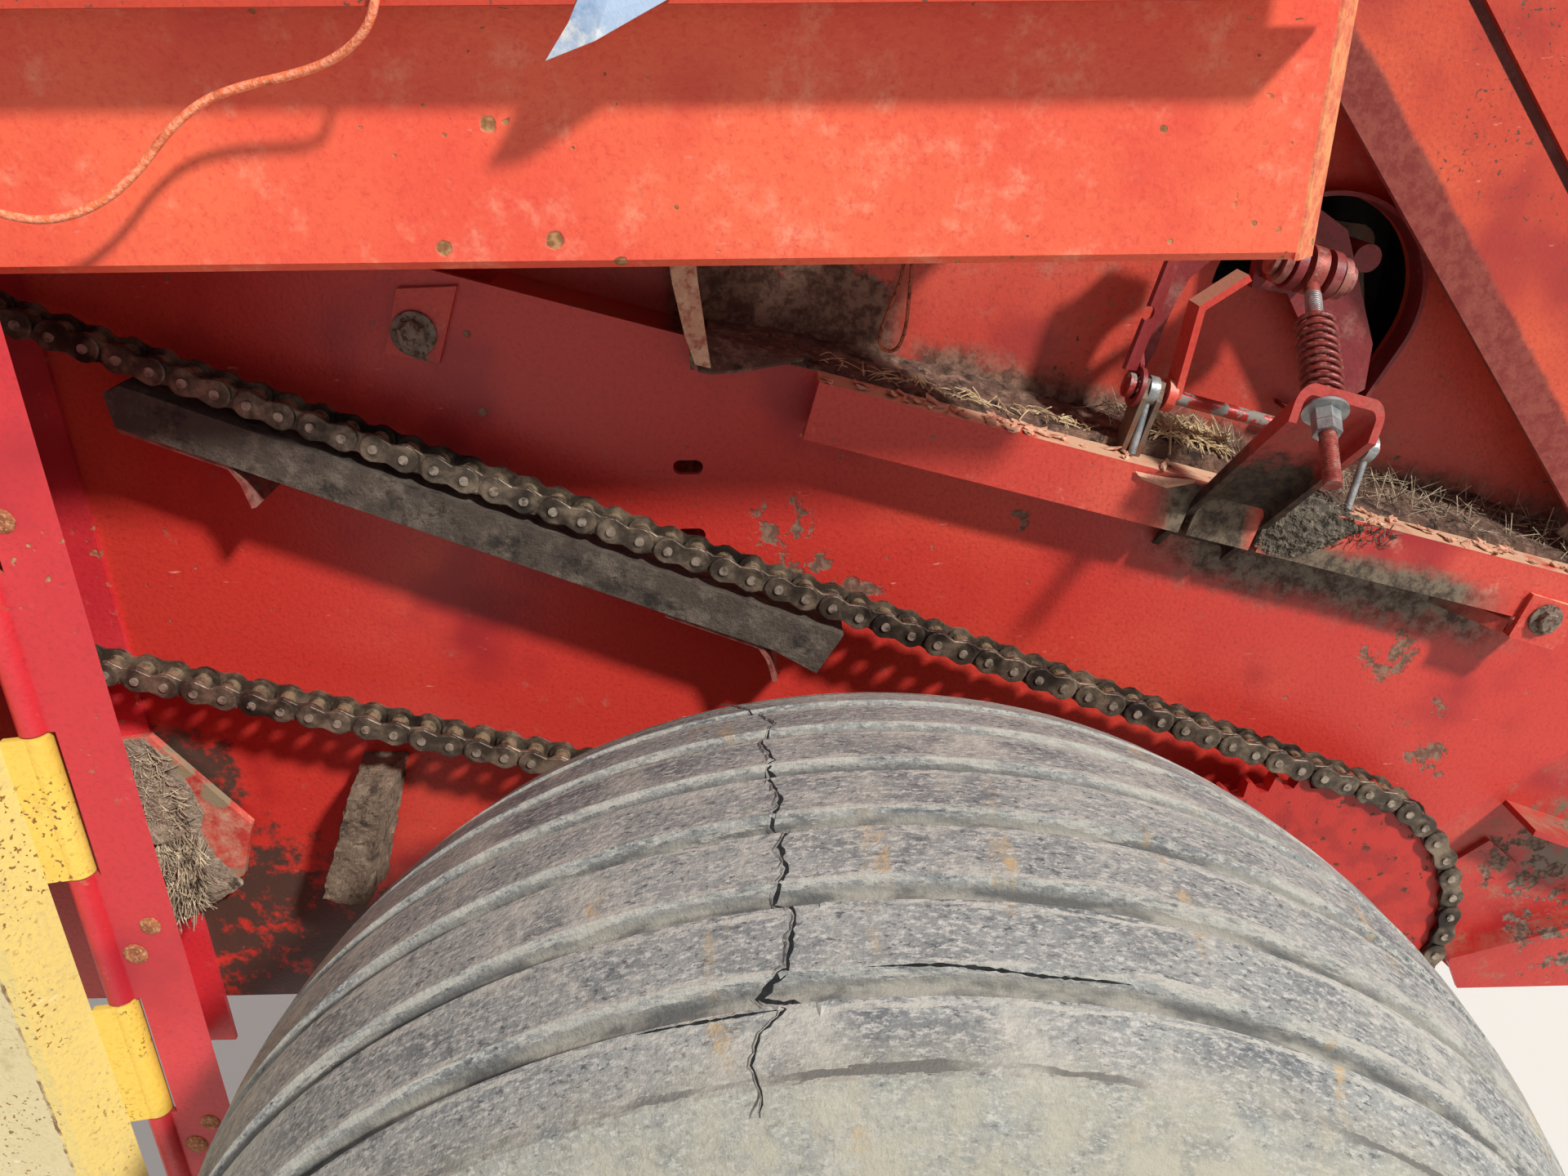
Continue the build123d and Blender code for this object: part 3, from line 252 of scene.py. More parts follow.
plainRed = {"paint": "c8352c", "faded": "dc4f3a", "deep": "a32224", "scuff": "e58f7c", "dust": "b56c5a",
            "dirtAndShade": "6b5a49", "paleDirtAndShade": "8f8271", "settled": "a5745f", "rust": "5a463a", "rustPale": "8c7465",
            "fadeCut": (0.48, 0.7), "deepCut": (0.55, 0.75), "dustCut": (0.64, 0.86), "settledCut": (0.34, 0.84),
            "pitCut": (0.74, 0.76), "gloss": 0.42, "dent": 0.25, "seed": 1.0}
paints = {
    # Upper panel: the most faded, towards orange, with a few brown pits low down
    "sunFadedEnamel": dict(plainRed, paint="ec5a42", faded="f5704c", deep="dc4438", fadeCut=(0.40, 0.70),
                           deepCut=(0.56, 0.82), dust="f7a080", dustCut=(0.52, 0.86), seed=3.0, rust="8a5a36",
                           rustPale="b98a5c", dirtAndShade="c9624a", paleDirtAndShade="dc915e",
                           bands=[{"full": -0.2112, "gone": -0.2100, "uneven": 0.0012, "across": (-1.0, 0.0, 0.0),
                                   "from": (0.20, 0.205), "to": (0.5, 0.6)}],
                           bare=[(-0.178, -0.215, 0.668, 0.0042), (-0.206, -0.215, 0.613, 0.0045),
                                 (-0.152, -0.215, 0.615, 0.0048), (-0.121, -0.215, 0.604, 0.0034),
                                 (0.187, -0.215, 0.62, 0.0016), (0.147, -0.215, 0.612, 0.0016)]),
    # Outer sheet: chip clusters beside the slots and above the big sprocket, grey mud under the rail, and dark dirt at
    # the lower left that also stands for the shade there (painted shade)
    "chippedEnamel": dict(plainRed, seed=5.0, paint="cc3a2f", faded="d94e3a", rust="6f4c3d", rustPale="93705c",
                          chips=[(-0.042, -0.060, 0.403, 0.024), (-0.026, -0.060, 0.366, 0.028),
                                 (0.012, -0.060, 0.350, 0.022), (0.436, -0.060, 0.237, 0.022),
                                 (0.399, -0.060, 0.293, 0.024), (0.452, -0.060, 0.200, 0.022),
                                 (0.120, -0.060, 0.402, 0.010)],
                          bare=[(0.006, -0.060, 0.352, 0.009), (-0.031, -0.060, 0.363, 0.008),
                                (-0.012, -0.060, 0.482, 0.012), (-0.238, -0.060, 0.535, 0.003),
                                (-0.234, -0.060, 0.484, 0.003)],
                          dirtAndShadeSpots=[(-0.46, -0.060, 0.06, 0.10), (-0.38, -0.060, 0.02, 0.09),
                                 (-0.50, -0.060, 0.20, 0.06)],
                          dirtAndShade="4f3c33", paleDirtAndShade="85796a",
                          bands=[{"full": 0.428, "gone": 0.396, "uneven": 0.044, "from": (0.19, 0.25),
                                  "to": (0.45, 0.50)}]),
    # Inner sheet: in the shade, duller, with brown grime along the shelf
    "dulledEnamel": dict(plainRed, paint="c2402f", faded="cc4f3b", deep="9c2c2a", dust="b4705c",
                         dustCut=(0.54, 0.84), fadeCut=(0.42, 0.62), seed=7.0, gloss=0.5, dirtAndShade="56392d",
                         paleDirtAndShade="8f6f5c",
                         bands=[{"full": 0.498, "gone": 0.521, "uneven": 0.034, "from": (0.045, 0.06),
                                 "to": (0.56, 0.6)},
                                {"full": 0.540, "gone": 0.552, "uneven": 0.110, "from": (-0.12, -0.11),
                                 "to": (0.03, 0.05)}]),
    # Rail, tabs and small pieces: worn through along the edges, dusty on top, with bands of dark dirt low on the rail
    # that are darkened further to stand for the shade there (painted shade)
    "wornEnamel": dict(plainRed, paint="d04537", faded="e4684f", seed=9.0, settled="d9b090", dustCut=(0.58, 0.82),
                       settledCut=(0.25, 0.5), gloss=0.48, dirtAndShade="463a30", paleDirtAndShade="7c6c59", dust="d9957c",
                       chips=[(-0.270, -0.064, 0.516, 0.016), (-0.020, -0.090, 0.470, 0.012)],
                       bands=[{"full": 0.457, "gone": 0.470, "uneven": 0.022, "from": (0.26, 0.29),
                               "to": (0.42, 0.46)},
                              {"full": 0.478, "gone": 0.492, "uneven": 0.020, "from": (0.196, 0.214),
                               "to": (0.262, 0.274)}]),
    # Tensioner channel: dark grime over the lower half of its web, darkened further to stand for the shade there
    # (painted shade)
    "grimeAndShadeEnamel": dict(plainRed, paint="b13a31", faded="cf5f52", deep="84251f", seed=11.0, dirtAndShade="2f261f",
                        paleDirtAndShade="554636", dustCut=(0.52, 0.78), dust="96604f", gloss=0.52, dent=0.1,
                        settled="c9806c", settledCut=(0.4, 0.62),
                        bands=[{"full": 0.508, "gone": 0.532, "uneven": 0.060, "from": (0.10, 0.12),
                                "to": (0.29, 0.32)}]),
    # Gusset: a dried film of mud over the red, thickest along its sloped edge
    "mudFilmedEnamel": dict(plainRed, paint="cf463c", faded="e27463", dust="cba588", dustCut=(0.42, 0.76),
                            seed=23.0, gloss=0.5, dirtAndShade="94876c", paleDirtAndShade="bdad8c",
                            dirtAndShadeSpots=[(-0.486, -0.070, 0.226, 0.016), (-0.462, -0.070, 0.196, 0.013),
                                   (-0.455, -0.070, 0.120, 0.014)]),
    # Crank, opening rim and lever: red painted dark to stand for the shade they lie in (painted shade), under greasy
    # dust
    "shadeDarkenedEnamel": dict(plainRed, paint="84272a", faded="a24440", deep="5c1c1c", dust="9a6258", seed=12.0,
                         dustCut=(0.5, 0.8), gloss=0.5, dent=0.1, settled="8f5a4a"),
    # Gate, post and shield: orange patches on the red, fine pale specks, and a dark red band down the post's left edge
    # that is painted shade standing for its shaded flange
    "patchyEnamel": dict(plainRed, paint="c8452f", faded="d95a3a", deep="a8322c", fadeCut=(0.42, 0.66),
                         dust="cf8a6a", dustCut=(0.62, 0.86), seed=13.0, specks="6b4236", speckCut=(0.66, 0.7),
                         dirtAndShade="7c2b26", paleDirtAndShade="8f4438",
                         bands=[{"full": 0.667, "gone": 0.672, "uneven": 0.008, "across": (0.7796, 0.0, 0.6263),
                                 "from": (0.2, 0.201), "to": (0.60, 0.61)}]),
    # Rear plates and lower pieces
    "dustyEnamel": dict(plainRed, paint="bf382e", faded="d65c48", seed=15.0, dustCut=(0.52, 0.8),
                        dust="9c7460", dirtAndShade="7a6654",
                        chips=[(0.56, -0.06, 0.10, 0.05), (0.60, -0.06, 0.03, 0.05)],
                        dirtAndShadeSpots=[(0.59, -0.06, 0.12, 0.05)]),
    # Front closure and jamb: brighter crimson with rust freckles by the door
    "freckledEnamel": dict(plainRed, paint="cf3038", faded="e0444a", deep="b02430", dust="d88270", seed=17.0,
                           pitCut=(0.68, 0.70), dustCut=(0.62, 0.84), rust="9a5a3c", rustPale="c08a64"),
    # Door knuckles: chrome yellow with rust specks
    "yellowEnamel": dict(plainRed, paint="ecc656", faded="f3d679", deep="d9ab42", scuff="f6e6b0", dust="cfa85a",
                         settled="d8b870", rust="7a4a24", rustPale="a8743c", dirtAndShade="7a5a34", dustCut=(0.6, 0.8),
                         specks="8a5a2c", speckCut=(0.61, 0.66), seed=19.0, gloss=0.5),
    # Door: cream enamel, with a chrome yellow strip along the hinge
    "creamEnamel": dict(plainRed, paint="d6c698", faded="ddd0a8", deep="c2b080", scuff="ebe3cb", dust="b8a57c",
                        settled="b8a888", rust="7a5638", rustPale="a07a50", dirtAndShade="8c7a5c", dustCut=(0.58, 0.84),
                        second="e6cb78", secondFrom=-0.488, specks="8f6a34", speckCut=(0.63, 0.66), seed=21.0,
                        gloss=0.45),
}
materials = {name: paintedSteel(name, spec) for name, spec in paints.items()}
print("paints made")


def rollerChainSteel(spec):
    # Blued plate steel under old oil and dust, with pin ends and rollers rubbed bright
    material, tree, shader = newMaterial("rollerChainSteel")
    spot = addNode(tree, "ShaderNodeTexCoord").outputs["Object"]
    paint = coat(tree, spec["plate"], spec["dust"], noiseMask(tree, spot, 55.0, 0.4, 0.7, detail=5.0, rough=0.65))
    paint = coat(tree, paint, spec["grease"], noiseMask(tree, spot, 30.0, 0.5, 0.66, shift=4.0))
    y = addNode(tree, "ShaderNodeSeparateXYZ", {}, {0: spot}).outputs["Y"]
    off = addNode(tree, "ShaderNodeMath", {"operation": "SUBTRACT", 1: spec["middle"]}, {0: y}).outputs[0]
    off = addNode(tree, "ShaderNodeMath", {"operation": "ABSOLUTE"}, {0: off}).outputs[0]
    ends = addNode(tree, "ShaderNodeMath", {"operation": "GREATER_THAN", 1: spec["pinFrom"]}, {0: off}).outputs[0]
    paint = coat(tree, paint, spec["pin"], ends, noiseMask(tree, spot, 180.0, 0.3, 0.6))
    rubbed = addNode(tree, "ShaderNodeMath", {"operation": "LESS_THAN", 1: spec["rollerHalf"]}, {0: off}).outputs[0]
    paint = coat(tree, paint, spec["roller"], rubbed, noiseMask(tree, spot, 150.0, 0.34, 0.6, shift=2.0))
    tree.links.new(paint, shader.inputs["Base Color"])
    shader.inputs["Metallic"].default_value = 0.5
    shader.inputs["Roughness"].default_value = 0.5
    grit = addNode(tree, "ShaderNodeTexNoise", {"Scale": 500.0, "Detail": 3.0}, {"Vector": spot}).outputs["Fac"]
    rough = addNode(tree, "ShaderNodeBump", {"Strength": 0.5, "Distance": 0.0006}, {"Height": grit})
    tree.links.new(rough.outputs["Normal"], shader.inputs["Normal"])
    return material


def wornMetal(name, spec):
    # Bare or plated steel with a rust bloom; noise breaks the colour up
    material, tree, shader = newMaterial(name)
    spot = addNode(tree, "ShaderNodeTexCoord").outputs["Object"]
    paint = coat(tree, spec["metal"], spec["tone"], noiseMask(tree, spot, spec["scale"], 0.42, 0.62, detail=5.0))
    bloom = noiseMask(tree, spot, spec["scale"] * 1.7, *spec["rustCut"], detail=5.0, rough=0.65, shift=3.0)
    paint = coat(tree, paint, spec["rust"], bloom)
    tree.links.new(paint, shader.inputs["Base Color"])
    shader.inputs["Metallic"].default_value = spec["metallic"]
    rough = addNode(tree, "ShaderNodeMapRange", {"To Min": spec["roughness"], "To Max": 0.85}, {"Value": bloom})
    tree.links.new(rough.outputs["Result"], shader.inputs["Roughness"])
    grain = addNode(tree, "ShaderNodeTexNoise", {"Scale": 600.0, "Detail": 3.0}, {"Vector": spot}).outputs["Fac"]
    bump = addNode(tree, "ShaderNodeBump", {"Strength": 0.4, "Distance": 0.0007}, {"Height": grain})
    tree.links.new(bump.outputs["Normal"], shader.inputs["Normal"])
    return material


metals = {
    "rustFilmSteel": {"metal": "5c4c41", "tone": "75604f", "rust": "7c4c32", "scale": 60.0, "rustCut": (0.48, 0.66),
                      "metallic": 0.25, "roughness": 0.6},
    # Pan behind the opening: greased steel painted near black to stand for the shade inside the opening (painted
    # shade)
    "darkGreasedSteel": {"metal": "2c2622", "tone": "3a3029", "rust": "4e3526", "scale": 40.0,
                         "rustCut": (0.55, 0.7), "metallic": 0.2, "roughness": 0.6},
    "rubbedBrightSteel": {"metal": "b9b4ab", "tone": "8c867c", "rust": "6b4a36", "scale": 70.0,
                          "rustCut": (0.6, 0.72), "metallic": 0.8, "roughness": 0.35},
    "redWashedShaft": {"metal": "b03228", "tone": "8f2622", "rust": "8a867e", "scale": 42.0,
                       "rustCut": (0.5, 0.54), "metallic": 0.15, "roughness": 0.4},
    "dullZinc": {"metal": "aeb0ae", "tone": "8b8f90", "rust": "8a7258", "scale": 80.0, "rustCut": (0.58, 0.75),
                 "metallic": 0.5, "roughness": 0.42},
    "redWashedSteel": {"metal": "a04a3e", "tone": "86352d", "rust": "8e8074", "scale": 130.0,
                       "rustCut": (0.54, 0.66), "metallic": 0.2, "roughness": 0.5},
    "springSteel": {"metal": "8c3a34", "tone": "6e2c2a", "rust": "9a6c60", "scale": 160.0,
                    "rustCut": (0.52, 0.68), "metallic": 0.2, "roughness": 0.42},
    "castIron": {"metal": "6b2c22", "tone": "54241e", "rust": "4c382c", "scale": 50.0, "rustCut": (0.5, 0.7),
                 "metallic": 0.1, "roughness": 0.65},
    "sprocketRed": {"metal": "c03028", "tone": "a82824", "rust": "5a3a2a", "scale": 60.0, "rustCut": (0.62, 0.66),
                    "metallic": 0.05, "roughness": 0.5},
    "pinkishDisc": {"metal": "a5645a", "tone": "7e4038", "rust": "8a7466", "scale": 110.0,
                    "rustCut": (0.5, 0.66), "metallic": 0.2, "roughness": 0.55},
    "rustyWire": {"metal": "8c3d1e", "tone": "a8512a", "rust": "5c2814", "scale": 200.0, "rustCut": (0.5, 0.62),
                  "metallic": 0.1, "roughness": 0.5},
    "cakedBolt": {"metal": "8d7b6c", "tone": "75665a", "rust": "5a4232", "scale": 140.0, "rustCut": (0.5, 0.6),
                  "metallic": 0.2, "roughness": 0.7},
    "rustBrownRivet": {"metal": "a8643e", "tone": "8a4a30", "rust": "c09068", "scale": 260.0,
                       "rustCut": (0.5, 0.6), "metallic": 0.0, "roughness": 0.75},
}
for name, spec in metals.items():
    materials[name] = wornMetal(name, spec)
materials["rollerChainSteel"] = rollerChainSteel({"plate": "4c4238", "dust": "94836f", "grease": "2b241f",
                                                  "pin": "b0a292", "roller": "a08f72", "middle": -0.098,
                                                  "pinFrom": 0.0114, "rollerHalf": 0.0062})


def roughCover(name, spec):
    # Caked mud, chaff or worn plastic: broken colour and a deep grain
    material, tree, shader = newMaterial(name)
    spot = addNode(tree, "ShaderNodeTexCoord").outputs["Object"]
    paint = coat(tree, spec["base"], spec["pale"],
                 noiseMask(tree, spot, spec["scale"], 0.45, 0.68, detail=6.0, rough=0.7))
    paint = coat(tree, paint, spec["dark"],
                 noiseMask(tree, spot, spec["scale"] * 0.8, 0.5, 0.66, detail=5.0, rough=0.7, shift=6.0))
    tree.links.new(paint, shader.inputs["Base Color"])
    shader.inputs["Roughness"].default_value = spec["roughness"]
    grain = addNode(tree, "ShaderNodeTexNoise", {"Scale": spec["grain"], "Detail": 6.0, "Roughness": 0.75},
                    {"Vector": spot}).outputs["Fac"]
    bump = addNode(tree, "ShaderNodeBump", {"Strength": spec["depth"], "Distance": 0.004}, {"Height": grain})
    tree.links.new(bump.outputs["Normal"], shader.inputs["Normal"])
    return material


covers = {
    "wornPolyethylene": {"base": "594e44", "pale": "7d7163", "dark": "352d27", "scale": 60.0, "grain": 200.0,
                         "depth": 1.0, "roughness": 0.85},
    "cakedMud": {"base": "857360", "pale": "a8957d", "dark": "4f4136", "scale": 80.0, "grain": 240.0,
                 "depth": 1.0, "roughness": 0.95},
    "hayFelt": {"base": "a08e7a", "pale": "cdb9a0", "dark": "554639", "scale": 110.0, "grain": 300.0,
                "depth": 1.0, "roughness": 0.95},
    "shelfGrime": {"base": "76594a", "pale": "ae8c77", "dark": "40302a", "scale": 90.0, "grain": 280.0,
                   "depth": 1.0, "roughness": 0.95},
    "oldChaff": {"base": "6c6153", "pale": "aa9d88", "dark": "3a3027", "scale": 190.0, "grain": 420.0,
                 "depth": 1.0, "roughness": 0.95},
    "dryStraw": {"base": "bfa67c", "pale": "e0cfa6", "dark": "7d6848", "scale": 90.0, "grain": 500.0,
                 "depth": 0.3, "roughness": 0.75},
    "greyedStraw": {"base": "a09079", "pale": "d9c9aa", "dark": "54483b", "scale": 90.0, "grain": 500.0,
                    "depth": 0.3, "roughness": 0.85},
    "flakedEnamel": {"base": "dca586", "pale": "ecc9a6", "dark": "b4604c", "scale": 110.0, "grain": 300.0,
                     "depth": 0.5, "roughness": 0.7},
    "nitrileSeal": {"base": "5c2a24", "pale": "74403a", "dark": "3a1c1a", "scale": 40.0, "grain": 300.0,
                    "depth": 0.3, "roughness": 0.8},
    "tornVinyl": {"base": "a9bdd6", "pale": "eceae4", "dark": "7f9fc4", "scale": 34.0, "grain": 90.0,
                  "depth": 0.2, "roughness": 0.5},
    "crackShadow": {"base": "191a1b", "pale": "2c2d2e", "dark": "101011", "scale": 200.0, "grain": 400.0,
                    "depth": 0.3, "roughness": 0.95},
}
for name, spec in covers.items():
    materials[name] = roughCover(name, spec)


def weatheredRubber(spec):
    # Natural and SBR tread rubber, oxidised grey: the grooves are painted darker for the shade in them (painted
    # shade) and dust lies in them and on the shoulders, the ribs' edges are rubbed pale and painted lighter where
    # they would catch the light (painted highlight), fine speckle and pits lie over it all and ochre marks run across
    # it
    material, tree, shader = newMaterial("weatheredRubber")
    spot = addNode(tree, "ShaderNodeTexCoord").outputs["Object"]
    parts = addNode(tree, "ShaderNodeSeparateXYZ", {}, {0: spot})
    x, y, z = parts.outputs["X"], parts.outputs["Y"], parts.outputs["Z"]
    angle = addNode(tree, "ShaderNodeMath", {"operation": "ARCTAN2"}, {0: x, 1: z}).outputs[0]
    flat = addNode(tree, "ShaderNodeCombineXYZ", {}, {"X": x, "Y": z}).outputs[0]
    length = addNode(tree, "ShaderNodeVectorMath", {"operation": "LENGTH"}, {0: flat}).outputs["Value"]
    girth = addNode(tree, "ShaderNodeMath", {"operation": "MULTIPLY", 1: spec["radius"]}, {0: angle}).outputs[0]
    unrolled = addNode(tree, "ShaderNodeCombineXYZ", {}, {"X": girth, "Y": y, "Z": length}).outputs[0]
    fine = addNode(tree, "ShaderNodeMapping", {"Scale": (210.0, 480.0, 480.0)}, {"Vector": unrolled}).outputs[0]
    broad = addNode(tree, "ShaderNodeMapping", {"Scale": (13.0, 34.0, 34.0)}, {"Vector": unrolled}).outputs[0]
    across = addNode(tree, "ShaderNodeMapping", {"Scale": (34.0, 9.0, 9.0)}, {"Vector": unrolled}).outputs[0]
    paint = coat(tree, spec["rubber"], spec["dark"], noiseMask(tree, broad, 1.0, 0.4, 0.7, detail=6.0, rough=0.65))
    paint = coat(tree, paint, spec["scratch"], noiseMask(tree, fine, 1.0, 0.46, 0.66, detail=4.0, rough=0.75))
    paint = coat(tree, paint, spec["pit"], noiseMask(tree, fine, 1.0, 0.54, 0.68, detail=3.0, rough=0.7, shift=4.0))
    paint = coat(tree, paint, spec["pale"], noiseMask(tree, unrolled, 20.0, 0.46, 0.74, detail=6.0, rough=0.74,
                                                      shift=2.0))
    paint = coat(tree, paint, spec["ochre"], noiseMask(tree, across, 1.0, 0.63, 0.72, detail=2.0, shift=5.0),
                 noiseMask(tree, spot, 120.0, 0.4, 0.62, detail=4.0, rough=0.7))
    middle = addNode(tree, "ShaderNodeMath", {"operation": "SUBTRACT", 1: spec["middle"]}, {0: y}).outputs[0]
    crowned = addNode(tree, "ShaderNodeMath", {"operation": "MULTIPLY"}, {0: middle, 1: middle}).outputs[0]
    height = addNode(tree, "ShaderNodeMath", {"operation": "MULTIPLY_ADD", 1: spec["drop"]},
                     {0: crowned, 2: length}).outputs[0]
    middle = addNode(tree, "ShaderNodeMath", {"operation": "ABSOLUTE"}, {0: middle}).outputs[0]
    inTread = addNode(tree, "ShaderNodeMapRange", {"From Min": 0.128, "From Max": 0.118}, {"Value": middle})
    low = addNode(tree, "ShaderNodeMapRange", {"From Min": spec["radius"] - 0.002, "From Max": spec["radius"] - 0.006},
                  {"Value": height})
    low = addNode(tree, "ShaderNodeMath", {"operation": "MULTIPLY"},
                  {0: low.outputs["Result"], 1: inTread.outputs["Result"]}).outputs[0]
    # Grooves painted darker for their shade (painted shade), with dust laid over them
    paint = coat(tree, paint, spec["grooveShade"], low)
    paint = coat(tree, paint, spec["dust"], low, noiseMask(tree, broad, 2.2, 0.4, 0.62, detail=5.0, shift=3.0))
    frayed = addNode(tree, "ShaderNodeMapping", {"Scale": (22.0, 120.0, 120.0)}, {"Vector": unrolled}).outputs[0]
    fray = addNode(tree, "ShaderNodeTexNoise", {"Scale": 1.0, "Detail": 5.0, "Roughness": 0.7},
                   {"Vector": frayed}).outputs["Fac"]
    place = addNode(tree, "ShaderNodeMath", {"operation": "MULTIPLY_ADD", 1: 0.012}, {0: fray, 2: y}).outputs[0]
    place = addNode(tree, "ShaderNodeMath", {"operation": "SUBTRACT", 1: spec["firstGroove"] + 0.006},
                    {0: place}).outputs[0]
    place = addNode(tree, "ShaderNodeMath", {"operation": "FLOORED_MODULO", 1: spec["grooveStep"]}, {0: place}).outputs[0]
    worn = noiseMask(tree, frayed, 1.3, 0.38, 0.62, detail=5.0, rough=0.78, shift=7.0)
    # Pale bands along the ribs' edges: rubbed wear and a painted highlight where the edges catch the light
    for low, high in spec["rubbed"]:
        lip = addNode(tree, "ShaderNodeMath", {"operation": "COMPARE", 1: (low + high) / 2, 2: (high - low) / 2},
                      {0: place}).outputs[0]
        lip = addNode(tree, "ShaderNodeMath", {"operation": "MULTIPLY"}, {0: lip, 1: inTread.outputs["Result"]})
        paint = coat(tree, paint, spec["lip"], lip.outputs[0], worn)
    wall = addNode(tree, "ShaderNodeMapRange", {"From Min": 0.116, "From Max": 0.150}, {"Value": middle})
    paint = coat(tree, paint, spec["wall"], wall.outputs["Result"],
                 noiseMask(tree, unrolled, 42.0, 0.28, 0.62, detail=6.0, rough=0.7, shift=8.0))
    edge = addNode(tree, "ShaderNodeMath", {"operation": "MULTIPLY_ADD", 1: -0.010}, {0: fray, 2: middle})
    edge = addNode(tree, "ShaderNodeMath", {"operation": "COMPARE", 1: 0.1290, 2: 0.0014},
                   {0: edge.outputs[0]}).outputs[0]
    paint = coat(tree, paint, spec["edge"], edge, noiseMask(tree, broad, 1.0, 0.4, 0.6, detail=5.0, shift=9.0))
    tree.links.new(paint, shader.inputs["Base Color"])
    shader.inputs["Roughness"].default_value = 0.82
    grain = addNode(tree, "ShaderNodeTexNoise", {"Scale": 1.0, "Detail": 4.0, "Roughness": 0.7},
                    {"Vector": fine}).outputs["Fac"]
    scratched = addNode(tree, "ShaderNodeBump", {"Strength": 0.5, "Distance": 0.0008}, {"Height": grain})
    pores = addNode(tree, "ShaderNodeTexNoise", {"Scale": 210.0, "Detail": 3.0, "Roughness": 0.7},
                    {"Vector": spot}).outputs["Fac"]
    pitted = addNode(tree, "ShaderNodeBump", {"Strength": 0.6, "Distance": 0.0018},
                     {"Height": pores, "Normal": scratched.outputs["Normal"]})
    tree.links.new(pitted.outputs["Normal"], shader.inputs["Normal"])
    return material


# The groove colour is painted shade; the lip colour is rubbed wear with a painted highlight
tyreLook = {"rubber": "8e908d", "dark": "606467", "scratch": "bab8b1", "pit": "56585a", "pale": "bab7ac", "ochre": "b09a78",
            "grooveShade": "5f5e5b", "dust": "9c988d", "lip": "b4b1a7", "wall": "a9a493", "edge": "6b6963",
            "radius": 0.393, "drop": 1.6, "middle": -0.3566, "firstGroove": -0.4654, "grooveStep": 0.0415,
            "rubbed": [(0.0005, 0.0040), (0.0115, 0.0155), (0.0380, 0.0405)]}
materials["weatheredRubber"] = weatheredRubber(tyreLook)


def polypropyleneTwine(spec):
    # Film-fibrillated polypropylene, faded orange: fine fibres that catch the light
    material, tree, shader = newMaterial("polypropyleneTwine")
    spot = addNode(tree, "ShaderNodeTexCoord").outputs["Object"]
    paint = coat(tree, spec["orange"], spec["pale"], noiseMask(tree, spot, 420.0, 0.42, 0.6))
    paint = coat(tree, paint, spec["dark"], noiseMask(tree, spot, 60.0, 0.55, 0.7, shift=2.0))
    tree.links.new(paint, shader.inputs["Base Color"])
    shader.inputs["Roughness"].default_value = 0.6
    grain = addNode(tree, "ShaderNodeTexNoise", {"Scale": 900.0, "Detail": 2.0}, {"Vector": spot}).outputs["Fac"]
    bump = addNode(tree, "ShaderNodeBump", {"Strength": 0.6, "Distance": 0.001}, {"Height": grain})
    tree.links.new(bump.outputs["Normal"], shader.inputs["Normal"])
    return material


materials["polypropyleneTwine"] = polypropyleneTwine({"orange": "ef7a4c", "pale": "fba07c", "dark": "c05a34"})
print("metals, covers, rubber and twine made")

finishes = {
    "sunFadedEnamel": ["guard_panel"],
    "chippedEnamel": ["side_sheet"],
    "dulledEnamel": ["inner_sheet", "shelf", "panel_brackets"],
    "wornEnamel": ["ledge_rail", "bolt_tab", "z_tab", "idler_arm", "release_bar"],
    "mudFilmedEnamel": ["gusset"],
    "grimeAndShadeEnamel": ["tension_bracket"],
    "shadeDarkenedEnamel": ["bell_crank", "opening_rim", "latch_lever"],
    "patchyEnamel": ["diagonal_post", "gate_edge", "side_shield", "top_rail"],
    "dustyEnamel": ["rear_strap", "rear_foot", "rear_rib", "rear_web", "sill_beam", "stub_axle", "hub"],
    "freckledEnamel": ["front_closure", "fixed_knuckles", "door_jamb"],
    "yellowEnamel": ["door_knuckles"],
    "creamEnamel": ["front_door", "rim"],
    "rustFilmSteel": ["latch_ears", "inner_links"],
    "darkGreasedSteel": ["opening_pan"],
    "rubbedBrightSteel": ["roll_shafts", "hinge_pin"],
    "redWashedShaft": ["latch_shaft"],
    "dullZinc": ["hub_cap", "wheel_nuts", "shaft_loops", "tension_nuts"],
    "redWashedSteel": ["tension_rod"],
    "springSteel": ["tension_spring"],
    "castIron": ["flange_bearings"],
    "sprocketRed": ["floor_roll_sprocket", "starter_roll_sprocket", "gearbox_sprocket", "idler_sprocket"],
    "pinkishDisc": ["crank_pin", "guide_clips"],
    "rollerChainSteel": ["drive_chain"],
    "wornPolyethylene": ["chain_guide"],
    "cakedMud": ["caked_stub"],
    "nitrileSeal": ["gate_seal"],
    "weatheredRubber": ["tyre"],
    "polypropyleneTwine": ["twine", "twine_knots"],
}
for finish, names in finishes.items():
    for name in names:
        for holder in nodes[name].material_slots:
            holder.material = materials[finish]
print("finishes laid on the CAD nodes")


def newTree(name, sockets):
    # A Geometry Nodes tree with its named inputs, and its one output
    tree = bpy.data.node_groups.new(name, "GeometryNodeTree")
    tree.interface.new_socket(name="Geometry", in_out="INPUT", socket_type="NodeSocketGeometry")
    for label, kind in sockets:
        tree.interface.new_socket(name=label, in_out="INPUT", socket_type="NodeSocket" + kind)
    tree.interface.new_socket(name="Geometry", in_out="OUTPUT", socket_type="NodeSocketGeometry")
    return tree, tree.nodes.new("NodeGroupInput").outputs


